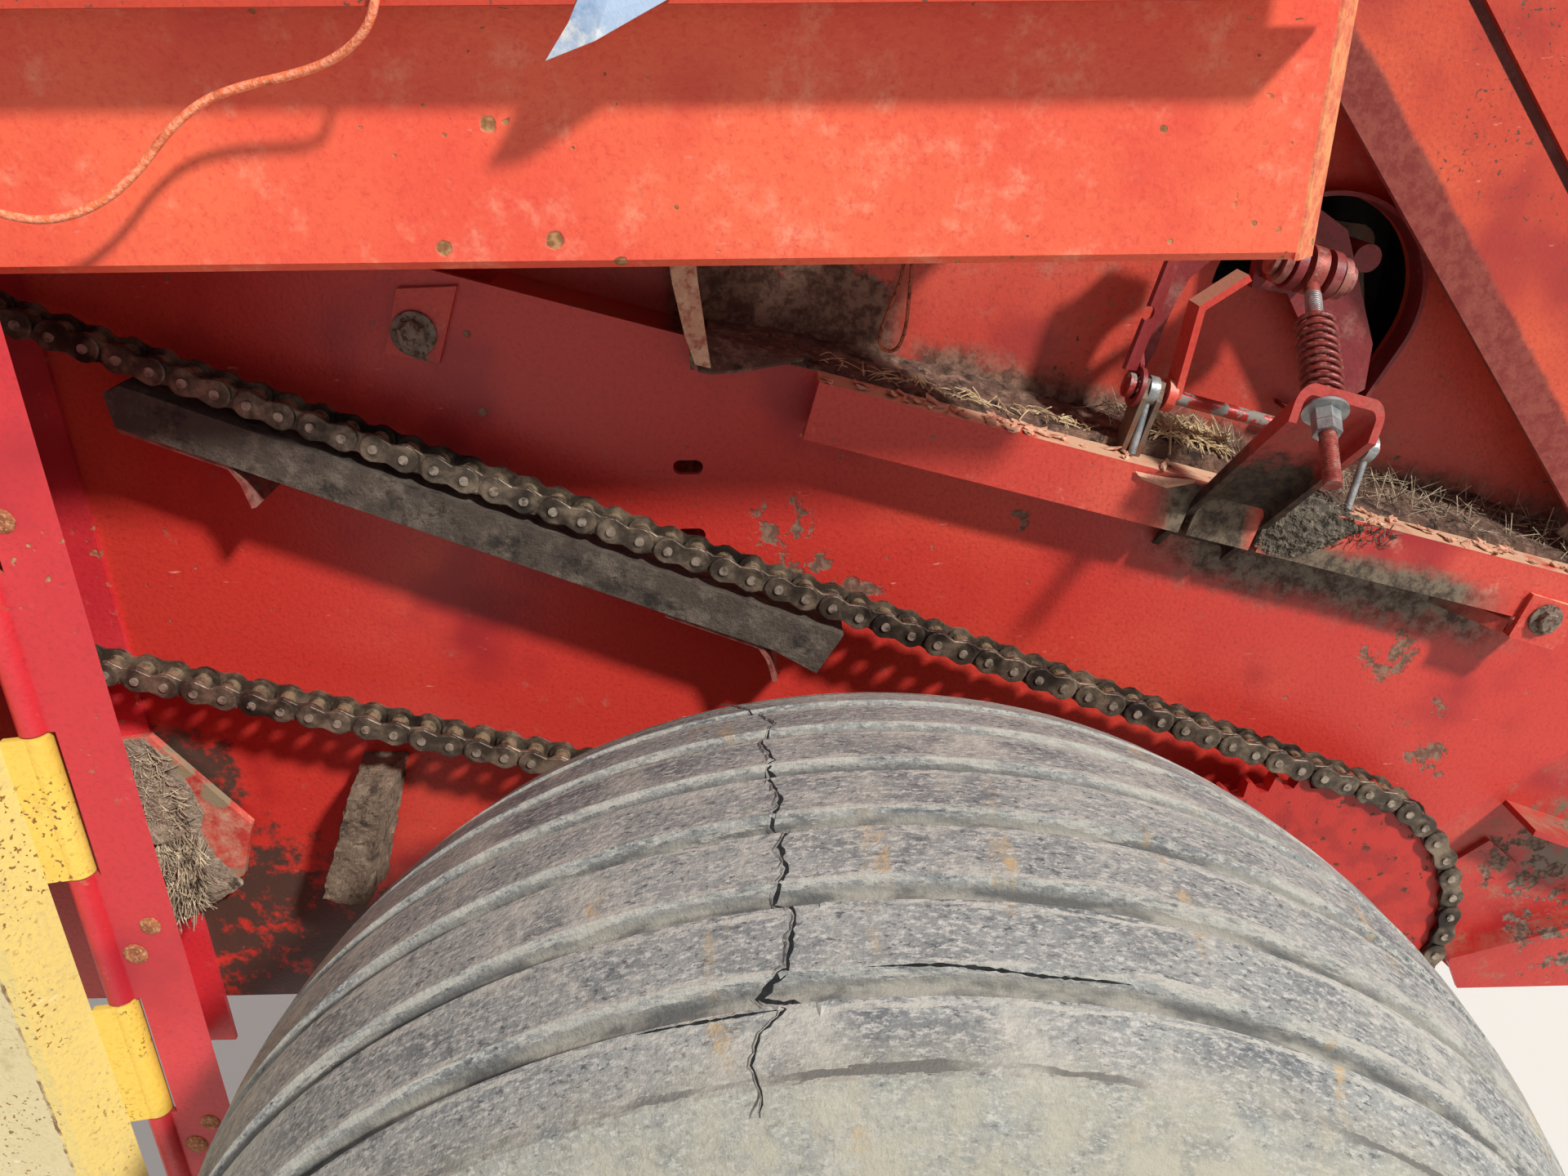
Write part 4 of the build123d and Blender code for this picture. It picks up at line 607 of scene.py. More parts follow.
def closeTree(tree, geometry):
    # Every tree ends in real geometry with its material
    tree.interface.new_socket(name="Finish", in_out="INPUT", socket_type="NodeSocketMaterial")
    entry = tree.nodes.new("NodeGroupInput").outputs
    real = addNode(tree, "GeometryNodeRealizeInstances", {}, {0: geometry})
    painted = addNode(tree, "GeometryNodeSetMaterial", {}, {0: real.outputs[0], "Material": entry["Finish"]})
    tree.links.new(painted.outputs[0], tree.nodes.new("NodeGroupOutput").inputs[0])


def newMesh(name, points, faces):
    mesh = bpy.data.meshes.new(name)
    mesh.from_pydata(points, [], faces)
    mesh.validate()
    return mesh


def newObject(name, mesh):
    made = bpy.data.objects.new(name, mesh)
    scene.collection.objects.link(made)
    return made


def runTree(name, tree, values, mesh=None):
    # Runs the tree on a mesh and keeps the result as a plain mesh
    holder = newObject(name + "Base", mesh or bpy.data.meshes.new(name + "Base"))
    modifier = holder.modifiers.new("nodes", "NODES")
    modifier.node_group = tree
    for item in tree.interface.items_tree:
        if item.in_out == "INPUT" and item.name in values:
            modifier[item.identifier] = values[item.name]
    seen = holder.evaluated_get(bpy.context.evaluated_depsgraph_get())
    result = bpy.data.meshes.new_from_object(seen)
    bpy.data.objects.remove(holder)
    return newObject(name, result)


def settle(piece, body, slot, *replaced):
    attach(piece, body)
    if replaced:
        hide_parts(*replaced)


def railPoint(a, b):
    # From along and across the rail to X and Z, in metres, for millimetres
    return (0.9641 * a + 0.26556 * b) / 1000, (-0.26556 * a + 0.9641 * b) / 1000


# Baler twine on the side shield: the route of part.py's tube
twine = {"diameter": 0.004, "length": 0.357,
         "route": [(-0.207, -0.255, 0.733), (-0.210, -0.255, 0.719), (-0.218, -0.2515, 0.706),
                   (-0.236, -0.245, 0.6955), (-0.257, -0.241, 0.690), (-0.277, -0.239, 0.6865),
                   (-0.297, -0.2385, 0.6805), (-0.315, -0.2385, 0.668), (-0.330, -0.239, 0.6525),
                   (-0.346, -0.240, 0.6405), (-0.363, -0.241, 0.633), (-0.381, -0.2415, 0.6305),
                   (-0.399, -0.242, 0.635), (-0.416, -0.2435, 0.643), (-0.432, -0.246, 0.655),
                   (-0.445, -0.2495, 0.671), (-0.454, -0.253, 0.691), (-0.459, -0.255, 0.712),
                   (-0.461, -0.2555, 0.733)]}
line = bpy.data.curves.new("balerTwine", "CURVE")
line.dimensions = "3D"
run = line.splines.new("NURBS")
run.points.add(len(twine["route"]) - 1)
for point, spot in zip(run.points, twine["route"]):
    point.co = (*spot, 1.0)
run.order_u = 3
run.use_endpoint_u = True
line.bevel_depth = twine["diameter"] / 2
line.bevel_resolution = 3
line.resolution_u = 8
line.use_fill_caps = True
line.materials.append(materials["polypropyleneTwine"])
balerTwine = newObject("balerTwine", line)
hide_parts("twine")
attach(balerTwine, "shield")
print("twine laid")

# Roller chain: pins at equal steps round the four sprockets, as in part.py
chain = {"pitch": 0.01905, "y": -0.098, "start": (-0.4688, 0.5472), "plateHalf": 0.009, "waistHalf": 0.0063,
         "plateThick": 0.0022, "rollerRadius": 0.00595, "pinRadius": 0.003, "innerAt": 0.0075, "outerAt": 0.0101,
         "pinReach": 0.0127}
wheels = [{"teeth": 44, "x": 0.3336, "z": 0.0798, "side": 1}, {"teeth": 15, "x": -0.0522, "z": 0.1512, "side": -1},
          {"teeth": 20, "x": -0.5837, "z": 0.4093, "side": 1}, {"teeth": 24, "x": -0.6674, "z": 0.549, "side": 1}]


def chainPins(spec, wheels):
    for wheel in wheels:
        wheel["r"] = spec["pitch"] / (2 * sin(pi / wheel["teeth"]))
    runs = []
    for here, there in zip(wheels, wheels[1:] + wheels[:1]):
        dx, dz = there["x"] - here["x"], there["z"] - here["z"]
        r0, r1 = here["r"] * here["side"], there["r"] * there["side"]
        turn = atan2(dz, dx) + asin((r1 - r0) / (dx * dx + dz * dz) ** 0.5)
        start = (here["x"] - r0 * sin(turn), here["z"] + r0 * cos(turn))
        end = (there["x"] - r1 * sin(turn), there["z"] + r1 * cos(turn))
        runs.append((start, end, turn))
    steps = []
    for i, (start, end, turn) in enumerate(runs):
        wheel = wheels[(i + 1) % len(wheels)]
        steps.append(((end[0] - start[0]) ** 2 + (end[1] - start[1]) ** 2) ** 0.5)
        bend = (turn - runs[(i + 1) % len(runs)][2]) % (2 * pi)
        if wheel["side"] < 0 and bend > pi:
            bend -= 2 * pi
        steps.append(abs(bend) * wheel["r"])
        wheel["bend"], wheel["from"] = bend, turn
    total = sum(steps)
    count = 2 * round(total / spec["pitch"] / 2)
    start, end, turn = runs[-1]
    offset = total - steps[-1] - steps[-2] + (spec["start"][0] - start[0]) / cos(turn)
    pins = []
    for i in range(count):
        at = (offset + i * total / count) % total
        for k, length in enumerate(steps):
            if at <= length:
                break
            at -= length
        start, end, turn = runs[k // 2]
        if k % 2 == 0:
            pins.append((start[0] + at * cos(turn), start[1] + at * sin(turn)))
        else:
            wheel = wheels[(k // 2 + 1) % len(wheels)]
            angle = wheel["from"] - at / length * wheel["bend"]
            side = wheel["r"] * wheel["side"]
            pins.append((wheel["x"] - side * sin(angle), wheel["z"] + side * cos(angle)))
    return pins


def roundBar(shape, x, rings, sides):
    # Bar along Y added to a bmesh, each ring a place on Y and a radius
    loops = []
    for y, radius in rings:
        loops.append([shape.verts.new((x + radius * cos(2 * pi * k / sides), y, radius * sin(2 * pi * k / sides)))
                      for k in range(sides)])
    for low, high in zip(loops, loops[1:]):
        for k in range(sides):
            shape.faces.new((low[k], low[k - 1], high[k - 1], high[k]))
    shape.faces.new(loops[0])
    shape.faces.new(loops[-1][::-1])


def linkPlate(shape, spec, y0, y1):
    # Waisted plate over two pins, its rim eased towards the outer face
    half = spec["pitch"] / 2
    outline = []
    for k in range(9):
        angle = pi / 2 - pi * k / 8
        outline.append((half + spec["plateHalf"] * cos(angle), spec["plateHalf"] * sin(angle)))
    outline.append((0.0, -spec["waistHalf"]))
    for k in range(9):
        angle = -pi / 2 - pi * k / 8
        outline.append((-half + spec["plateHalf"] * cos(angle), spec["plateHalf"] * sin(angle)))
    outline.append((0.0, spec["waistHalf"]))
    rings = []
    for y, grow in ((y0, 1.0), (y0 + 0.8 * (y1 - y0), 1.0), (y1, 0.93)):
        rings.append([shape.verts.new((x * (1 if abs(x) < 1e-6 else grow), y, z * grow)) for x, z in outline])
    for low, high in zip(rings, rings[1:]):
        for k in range(len(outline)):
            shape.faces.new((low[k - 1], low[k], high[k], high[k - 1]))
    shape.faces.new(rings[0][::-1])
    shape.faces.new(rings[-1])


def finishShape(name, shape):
    bmesh.ops.recalc_face_normals(shape, faces=shape.faces)
    mesh = bpy.data.meshes.new(name)
    shape.to_mesh(mesh)
    shape.free()
    return newObject(name, mesh)


def linkObject(name, spec, outer):
    shape = bmesh.new()
    at = spec["outerAt"] if outer else spec["innerAt"]
    for side in (-1, 1):
        linkPlate(shape, spec, side * (at - spec["plateThick"] / 2), side * (at + spec["plateThick"] / 2))
    half = spec["pitch"] / 2
    for x in (-half, half):
        if outer:
            roundBar(shape, x, [(-spec["pinReach"], spec["pinRadius"]), (spec["pinReach"], spec["pinRadius"])], 12)
        else:
            roundBar(shape, x, [(-spec["innerAt"], spec["rollerRadius"]), (spec["innerAt"], spec["rollerRadius"])],
                     16)
    return finishShape(name, shape)


outerLink = linkObject("outerLink", chain, True)
innerLink = linkObject("innerLink", chain, False)
pins = chainPins(chain, wheels)
middles = []
turns = []
for here, there in zip(pins, pins[1:] + pins[:1]):
    middles.append(((here[0] + there[0]) / 2, chain["y"], (here[1] + there[1]) / 2))
    turns.append(-atan2(there[1] - here[1], there[0] - here[0]))
linkSpots = newMesh("linkSpots", middles, [])
linkSpots.attributes.new("turn", "FLOAT", "POINT").data.foreach_set("value", turns)
tree, entry = newTree("rollerChainLinks", [("Outer Link", "Object"), ("Inner Link", "Object"), ("Size", "Float")])
turn = addNode(tree, "GeometryNodeInputNamedAttribute", {"data_type": "FLOAT", "Name": "turn"}).outputs[0]
spin = addNode(tree, "ShaderNodeCombineXYZ", {}, {"Y": turn}).outputs[0]
number = addNode(tree, "GeometryNodeInputIndex").outputs[0]
odd = addNode(tree, "ShaderNodeMath", {"operation": "MODULO", 1: 2.0}, {0: number}).outputs[0]
even = addNode(tree, "ShaderNodeMath", {"operation": "SUBTRACT", 0: 1.0}, {1: odd}).outputs[0]
joined = addNode(tree, "GeometryNodeJoinGeometry")
for chosen, label in ((even, "Outer Link"), (odd, "Inner Link")):
    link = addNode(tree, "GeometryNodeObjectInfo", {}, {0: entry[label]})
    laid = addNode(tree, "GeometryNodeInstanceOnPoints", {}, {"Points": entry["Geometry"], "Selection": chosen,
                                                              "Instance": link.outputs["Geometry"],
                                                              "Rotation": spin, "Scale": entry["Size"]})
    tree.links.new(laid.outputs[0], joined.inputs[0])
closeTree(tree, joined.outputs[0])
rollerChain = runTree("rollerChain", tree, {"Outer Link": outerLink, "Inner Link": innerLink, "Size": 1.0,
                                            "Finish": materials["rollerChainSteel"]}, linkSpots)
bpy.data.objects.remove(outerLink)
bpy.data.objects.remove(innerLink)
settle(rollerChain, "baler_side", "chain_steel", "drive_chain")
print("chain laid,", len(pins), "links")

# Wire wound along the tension rod: the spring's coils, and the rod's two threads
rod = {"foot": (0.2728, -0.1468, 0.5085), "top": (0.2833, -0.0938, 0.5463)}
windings = {
    "compressionSpring": {"from": 0.0022, "to": 0.0635, "turns": 10.5, "radius": 0.0107, "wire": 0.0018,
                          "steps": 28, "sides": 8, "finish": "springSteel", "slot": "dark_steel",
                          "replaces": ["tension_spring"]},
    "lowerThread": {"from": -0.0575, "to": -0.0260, "turns": 18.0, "radius": 0.0046, "wire": 0.0006,
                    "steps": 18, "sides": 5, "finish": "redWashedSteel", "slot": "bright_steel", "replaces": []},
    "upperThread": {"from": 0.0670, "to": 0.0840, "turns": 10.0, "radius": 0.0046, "wire": 0.0006,
                    "steps": 18, "sides": 5, "finish": "dullZinc", "slot": "bright_steel", "replaces": []},
}
tree, entry = newTree("wireWoundOnRod", [("Turns", "Float"), ("Radius", "Float"), ("Wire", "Float"),
                                         ("Length", "Float"), ("Steps", "Int"), ("Sides", "Int"),
                                         ("Foot", "Vector"), ("Lean", "Rotation")])
coil = addNode(tree, "GeometryNodeCurveSpiral", {}, {"Resolution": entry["Steps"], "Rotations": entry["Turns"],
                                                     "Start Radius": entry["Radius"],
                                                     "End Radius": entry["Radius"], "Height": entry["Length"]})
section = addNode(tree, "GeometryNodeCurvePrimitiveCircle", {}, {"Resolution": entry["Sides"],
                                                                 "Radius": entry["Wire"]})
swept = addNode(tree, "GeometryNodeCurveToMesh", {"Fill Caps": True},
                {"Curve": coil.outputs[0], "Profile Curve": section.outputs[0]})
smooth = addNode(tree, "GeometryNodeSetShadeSmooth", {}, {0: swept.outputs[0]})
leaned = addNode(tree, "GeometryNodeTransform", {}, {0: smooth.outputs[0], "Translation": entry["Foot"],
                                                     "Rotation": entry["Lean"]})
closeTree(tree, leaned.outputs[0])
rodWay = (Vector(rod["top"]) - Vector(rod["foot"])).normalized()
for name, spec in windings.items():
    wound = runTree(name, tree, {"Turns": spec["turns"], "Radius": spec["radius"], "Wire": spec["wire"],
                                 "Length": spec["to"] - spec["from"], "Steps": spec["steps"],
                                 "Sides": spec["sides"], "Foot": Vector(rod["foot"]) + rodWay * spec["from"],
                                 "Lean": rodWay.to_track_quat("Z", "Y").to_euler(),
                                 "Finish": materials[spec["finish"]]})
    settle(wound, "baler_side", spec["slot"], *spec["replaces"])
print("spring and threads wound")

# Bolt heads with their washers, and flat rivets, on faces that look outboard
fasteners = {
    "boltHeads": {"finish": "cakedBolt", "slot": "dark_steel", "body": "baler_side",
                  "spots": [(0.4815, -0.094, 0.3370, 1.0, 0.2), (-0.2700, -0.064, 0.5365, 1.25, 0.5)]},
    "closureRivets": {"finish": "rustBrownRivet", "slot": "dark_steel", "body": "baler_side",
                      "spots": [(-0.4315, -0.2538, 0.2120, 1.0, 0.0), (-0.4180, -0.2538, 0.2330, 0.85, 0.7),
                                (-0.4300, -0.2538, 0.4900, 0.9, 0.4), (-0.4310, -0.2538, 0.0500, 1.0, 0.4),
                                (-0.4180, -0.2538, 0.0700, 0.85, 0.2)]},
}
boltShape = bmesh.new()
roundBar(boltShape, 0.0, [(0.0, 0.0115), (-0.0016, 0.0115), (-0.0020, 0.0111)], 20)
roundBar(boltShape, 0.0, [(-0.0018, 0.0076), (-0.0066, 0.0076), (-0.0074, 0.0066)], 6)
rivetShape = bmesh.new()
roundBar(rivetShape, 0.0, [(0.0, 0.0075), (-0.0009, 0.0072), (-0.0016, 0.0055), (-0.0019, 0.0030)], 14)
heads = {"boltHeads": finishShape("boltHead", boltShape), "closureRivets": finishShape("rivetHead", rivetShape)}
tree, entry = newTree("headsOnPlates", [("Head", "Object")])
turn = addNode(tree, "GeometryNodeInputNamedAttribute", {"data_type": "FLOAT", "Name": "turn"}).outputs[0]
size = addNode(tree, "GeometryNodeInputNamedAttribute", {"data_type": "FLOAT", "Name": "size"}).outputs[0]
spin = addNode(tree, "ShaderNodeCombineXYZ", {}, {"Y": turn}).outputs[0]
head = addNode(tree, "GeometryNodeObjectInfo", {}, {0: entry["Head"]})
laid = addNode(tree, "GeometryNodeInstanceOnPoints", {}, {"Points": entry["Geometry"], "Rotation": spin,
                                                          "Instance": head.outputs["Geometry"], "Scale": size})
closeTree(tree, laid.outputs[0])
for name, spec in fasteners.items():
    mesh = newMesh(name + "Spots", [spot[:3] for spot in spec["spots"]], [])
    mesh.attributes.new("size", "FLOAT", "POINT").data.foreach_set("value", [spot[3] for spot in spec["spots"]])
    mesh.attributes.new("turn", "FLOAT", "POINT").data.foreach_set("value", [spot[4] for spot in spec["spots"]])
    fixed = runTree(name, tree, {"Head": heads[name], "Finish": materials[spec["finish"]]}, mesh)
    settle(fixed, spec["body"], spec["slot"])
    bpy.data.objects.remove(heads[name])
print("bolts and rivets set")

# Caked dirt: coarse closed banks, broken up by one tree that divides them and pushes their skin about
tree, entry = newTree("brokenSkin", [("Level", "Int"), ("Lump Scale", "Float"), ("Depth", "Float"),
                                     ("Sink", "Float")])
divided = addNode(tree, "GeometryNodeSubdivideMesh", {}, {0: entry["Geometry"], "Level": entry["Level"]})
where = addNode(tree, "GeometryNodeInputPosition").outputs[0]
lumps = addNode(tree, "ShaderNodeTexNoise", {"Detail": 5.0, "Roughness": 0.7},
                {"Vector": where, "Scale": entry["Lump Scale"]}).outputs["Fac"]
push = addNode(tree, "ShaderNodeMath", {"operation": "SUBTRACT"}, {0: lumps, 1: entry["Sink"]}).outputs[0]
push = addNode(tree, "ShaderNodeMath", {"operation": "MULTIPLY"}, {0: push, 1: entry["Depth"]}).outputs[0]
outward = addNode(tree, "GeometryNodeInputNormal").outputs[0]
moved = addNode(tree, "ShaderNodeVectorMath", {"operation": "SCALE"}, {0: outward, "Scale": push}).outputs[0]
pushed = addNode(tree, "GeometryNodeSetPosition", {}, {0: divided.outputs[0], "Offset": moved})
closeTree(tree, pushed.outputs[0])


def bank(name, sections):
    # Closed skin over sections that have as many points each
    points = [point for section in sections for point in section]
    count = len(sections[0])
    faces = [tuple(range(count)), tuple(range(len(points) - 1, len(points) - 1 - count, -1))]
    for i in range(len(sections) - 1):
        for k in range(count):
            low, high = i * count, (i + 1) * count
            faces.append((low + k - 1 if k else low + count - 1, high + k - 1 if k else high + count - 1,
                          high + k, low + k))
    mesh = newMesh(name, points, faces)
    shape = bmesh.new()
    shape.from_mesh(mesh)
    bmesh.ops.recalc_face_normals(shape, faces=shape.faces)
    shape.to_mesh(mesh)
    shape.free()
    return mesh


def alongRail(a, section):
    # A section across the rail, its points as Y and b, in millimetres
    return [(railPoint(a, b)[0], y / 1000, railPoint(a, b)[1]) for y, b in section]


# Each station: along the rail, then how deep the dirt is at the sheet, in the middle and at the edge
shelfDepths = [(-226, 4, 3, 2), (-180, 9, 5, 2), (-134, 12, 7, 2), (-80, 12, 8, 3), (-30, 13, 8, 3),
               (20, 11, 7, 3), (60, 13, 12, 6), (95, 18, 19, 12), (125, 15, 15, 9), (160, 9, 7, 4),
               (200, 8, 6, 3), (250, 10, 6, 3), (300, 16, 10, 4), (345, 22, 14, 6), (380, 17, 10, 5),
               (425, 8, 5, 3)]
shelfSections = [alongRail(a, [(-62, 485.6), (-60, 486 + edge), (-34, 484 + middle), (-5.4, 484 + wall),
                               (-5.4, 483)]) for a, wall, middle, edge in shelfDepths]
railDepths = [(158, 2, 1, 1, 452), (170, 6, 4, 3, 449), (184, 7, 6, 5, 450), (198, 4, 5, 4, 457),
              (210, 2, 3, 2, 468), (224, 1, 1.5, 1, 479)]
railSections = [alongRail(a, [(-64, 485.8), (-66, 486 + top), (-88, 486 + top), (-90.5 - high, 481.5),
                              (-90.5 - low, (480 + lowest) / 2), (-90.4, lowest), (-88, lowest + 1.5), (-88, 484)])
                for a, top, high, low, lowest in railDepths]
cakeDepths = [(246, -527, -504, 2, 2, 1), (230, -527, -492, 5, 5, 2), (205, -526, -480, 8, 9, 3),
              (180, -526, -474, 12, 12, 3), (168, -526, -480, 18, 19, 4), (158, -526, -480, 9, 10, 3),
              (140, -525, -474, 13, 13, 4), (115, -525, -459, 16, 13, 6), (92, -524, -492, 11, 9, 4),
              (79, -523, -514, 3, 3, 2)]
cakeSections = [[(left / 1000, -0.0698, z / 1000), (left / 1000, (-70 - thick) / 1000, z / 1000),
                 ((left + right) / 2000, (-70 - middle) / 1000, z / 1000),
                 (right / 1000, (-70 - thin) / 1000, z / 1000), (right / 1000, -0.0698, z / 1000)]
                for z, left, right, thick, middle, thin in cakeDepths]
stubSections = [[(x0 / 1000, y / 1000, z0 / 1000), (x1 / 1000, y / 1000, z1 / 1000),
                 (x2 / 1000, y / 1000, z2 / 1000), (x3 / 1000, y / 1000, z3 / 1000)]
                for y, x0, z0, x1, z1, x2, z2, x3, z3 in (
                    (-60, -352, 226, -318, 226, -350, 114, -386, 124),
                    (-80, -351, 224, -320, 224, -352, 116, -386, 126),
                    (-102, -350, 223, -320, 222, -353, 118, -385, 128),
                    (-113, -349, 220, -322, 218, -355, 124, -382, 132))]
dirtBanks = {
    "shelfDirt": {"sections": shelfSections, "level": 4, "scale": 95.0, "depth": 0.008, "sink": 0.55,
                  "finish": "shelfGrime", "slot": "guide_plastic", "replaces": []},
    "railChaff": {"sections": railSections, "level": 4, "scale": 190.0, "depth": 0.007, "sink": 0.56,
                  "finish": "oldChaff", "slot": "guide_plastic", "replaces": []},
    "gussetCake": {"sections": cakeSections, "level": 4, "scale": 130.0, "depth": 0.009, "sink": 0.52,
                   "finish": "hayFelt", "slot": "guide_plastic", "replaces": []},
    "cakedStub": {"sections": stubSections, "level": 5, "scale": 75.0, "depth": 0.010, "sink": 0.58,
                  "finish": "cakedMud", "slot": "red_paint", "replaces": ["caked_stub"]},
}
for name, spec in dirtBanks.items():
    caked = runTree(name, tree, {"Level": spec["level"], "Lump Scale": spec["scale"], "Depth": spec["depth"],
                                 "Sink": spec["sink"], "Finish": materials[spec["finish"]]},
                    bank(name + "Core", spec["sections"]))
    settle(caked, "baler_side", spec["slot"], *spec["replaces"])
print("dirt banked")


# Loose stalks and flakes: one tree scatters a small piece over quads, with random length, turn and tilt
def stalkObject(name, bend, wide, thick):
    # Bent three-sided blade 10 mm long
    points = []
    for x, lift in ((-0.005, 0.0), (-0.0018, bend), (0.0018, bend * 1.1), (0.005, -0.2 * bend)):
        points += [(x, -wide, lift), (x, wide, lift), (x, 0.0, lift + thick)]
    faces = [(2, 1, 0), (9, 10, 11)]
    for i in range(0, 9, 3):
        for k, j in ((0, 1), (1, 2), (2, 0)):
            faces.append((i + k, i + j, i + 3 + j, i + 3 + k))
    return newObject(name, newMesh(name, points, faces))


def flakeObject(name):
    # Curled scale of old paint, 10 mm across
    rim = [(0.005, 0.0, 0.0012), (0.003, 0.0036, 0.0002), (-0.002, 0.0042, 0.0), (-0.005, 0.001, 0.0014),
           (-0.0035, -0.0034, 0.0002), (0.002, -0.0044, 0.0006)]
    points = rim + [(x, y, z + 0.0005) for x, y, z in rim]
    faces = [(5, 4, 3, 2, 1, 0), (6, 7, 8, 9, 10, 11)]
    for k in range(6):
        faces.append((k - 1 if k else 5, k, 6 + k, 5 + k if k else 11))
    return newObject(name, newMesh(name, points, faces))


tree, entry = newTree("looseBits", [("Bit", "Object"), ("Density", "Float"), ("Seed", "Int"),
                                    ("Shortest", "Vector"), ("Longest", "Vector"), ("Turn From", "Vector"),
                                    ("Turn To", "Vector")])
bed = addNode(tree, "GeometryNodeDistributePointsOnFaces", {}, {"Mesh": entry["Geometry"],
                                                                "Density": entry["Density"],
                                                                "Seed": entry["Seed"]})
size = addNode(tree, "FunctionNodeRandomValue", {"data_type": "FLOAT_VECTOR"},
               {0: entry["Shortest"], 1: entry["Longest"], 8: entry["Seed"]})
turn = addNode(tree, "FunctionNodeRandomValue", {"data_type": "FLOAT_VECTOR"},
               {0: entry["Turn From"], 1: entry["Turn To"], 8: entry["Seed"]})
facing = addNode(tree, "FunctionNodeRotateRotation", {"rotation_space": "LOCAL"},
                 {0: bed.outputs["Rotation"], 1: turn.outputs[0]})
bit = addNode(tree, "GeometryNodeObjectInfo", {}, {0: entry["Bit"]})
strewn = addNode(tree, "GeometryNodeInstanceOnPoints", {}, {"Points": bed.outputs["Points"],
                                                            "Instance": bit.outputs["Geometry"],
                                                            "Rotation": facing.outputs[0],
                                                            "Scale": size.outputs[0]})
closeTree(tree, strewn.outputs[0])


def quadBed(name, quads):
    points = [point for quad in quads for point in quad]
    return newMesh(name, points, [tuple(range(i, i + 4)) for i in range(0, len(points), 4)])


def shelfQuad(a0, a1, yFront, yBack, bFront, bBack):
    # Sloping patch over the shelf's dirt
    corners = ((a0, yFront, bFront), (a1, yFront, bFront), (a1, yBack, bBack), (a0, yBack, bBack))
    return [(railPoint(a, b)[0], y / 1000, railPoint(a, b)[1]) for a, y, b in corners]


straw = stalkObject("strawBlade", 0.0006, 0.00035, 0.0004)
stem = stalkObject("hayStem", 0.0003, 0.0002, 0.0003)
flake = flakeObject("paintFlake")
flatTurn = ((-0.35, -0.35, 0.0), (0.35, 0.35, 6.283))
wildTurn = ((-1.1, -1.1, 0.0), (1.1, 1.1, 6.283))
strewings = {
    # Straw heap in front of the cross shaft
    "strawHeap": {"bit": straw, "density": 120000, "seed": 3, "size": ((0.8, 1.0, 1.0), (2.6, 2.2, 1.6)),
                  "turn": ((-0.7, -0.7, 0.0), (0.7, 0.7, 6.283)), "finish": "dryStraw",
                  "quads": [shelfQuad(76, 132, -56, -28, 500, 507)]},
    # Pale fringe along the sheet, and thin stalks further along the shelf
    "strawFringe": {"bit": straw, "density": 30000, "seed": 5, "size": ((0.6, 0.8, 0.8), (2.0, 1.8, 1.4)),
                    "turn": flatTurn, "finish": "dryStraw",
                    "quads": [shelfQuad(-150, 40, -58, -40, 490, 493)]},
    "shelfStems": {"bit": stem, "density": 22000, "seed": 8, "size": ((1.2, 1.0, 1.0), (4.6, 1.8, 1.4)),
                   "turn": wildTurn, "finish": "greyedStraw",
                   "quads": [shelfQuad(210, 400, -55, -12, 492, 503), shelfQuad(50, 150, -50, -12, 498, 504)]},
    # Chaff at the tensioner's foot
    "footChaff": {"bit": straw, "density": 90000, "seed": 13, "size": ((0.3, 0.8, 0.8), (0.9, 1.8, 1.4)),
                  "turn": wildTurn, "finish": "oldChaff",
                  "quads": [shelfQuad(160, 216, -93, -66, 484, 492),
                            [(railPoint(a, b)[0], -0.0906, railPoint(a, b)[1])
                             for a, b in ((196, 462), (248, 474), (248, 486), (196, 486))]]},
    # Hay bound to the gusset: a felt on its upper half, a broom below the ridge
    "gussetFelt": {"bit": straw, "density": 60000, "seed": 21, "size": ((0.6, 0.8, 0.8), (1.7, 1.6, 1.4)),
                   "turn": ((-0.5, -0.5, 0.0), (0.5, 0.5, 6.283)), "finish": "greyedStraw",
                   "quads": [[(-0.524, -0.082, 0.175), (-0.480, -0.082, 0.175), (-0.490, -0.074, 0.236),
                              (-0.524, -0.074, 0.236)]]},
    "gussetBroom": {"bit": stem, "density": 260000, "seed": 34, "size": ((1.4, 1.2, 1.2), (4.0, 2.4, 2.0)),
                    "turn": ((-0.6, -0.7, 0.9), (0.6, 0.9, 2.2)), "finish": "greyedStraw",
                    "quads": [[(-0.524, -0.090, 0.098), (-0.484, -0.084, 0.106), (-0.478, -0.082, 0.156),
                               (-0.524, -0.090, 0.156)]]},
    # Scales of old paint along the rail's top edge and on the bracket's foot
    "railFlakes": {"bit": flake, "density": 9000, "seed": 55, "size": ((0.4, 0.3, 0.6), (1.6, 0.8, 1.6)),
                   "turn": ((-0.25, -0.25, 0.0), (0.25, 0.25, 6.283)), "finish": "flakedEnamel",
                   "quads": [shelfQuad(-150, 96, -88, -66, 486.4, 486.8),
                             shelfQuad(216, 392, -88, -66, 486.4, 486.8)]},
}
for name, spec in strewings.items():
    strewnBits = runTree(name, tree, {"Bit": spec["bit"], "Density": float(spec["density"]), "Seed": spec["seed"],
                                      "Shortest": spec["size"][0], "Longest": spec["size"][1],
                                      "Turn From": spec["turn"][0], "Turn To": spec["turn"][1],
                                      "Finish": materials[spec["finish"]]}, quadBed(name + "Bed", spec["quads"]))
    settle(strewnBits, "baler_side", "guide_plastic")
    print(name, len(strewnBits.data.polygons), "faces")
for bit in (straw, stem, flake):
    bpy.data.objects.remove(bit)
print("straw and flakes strewn")


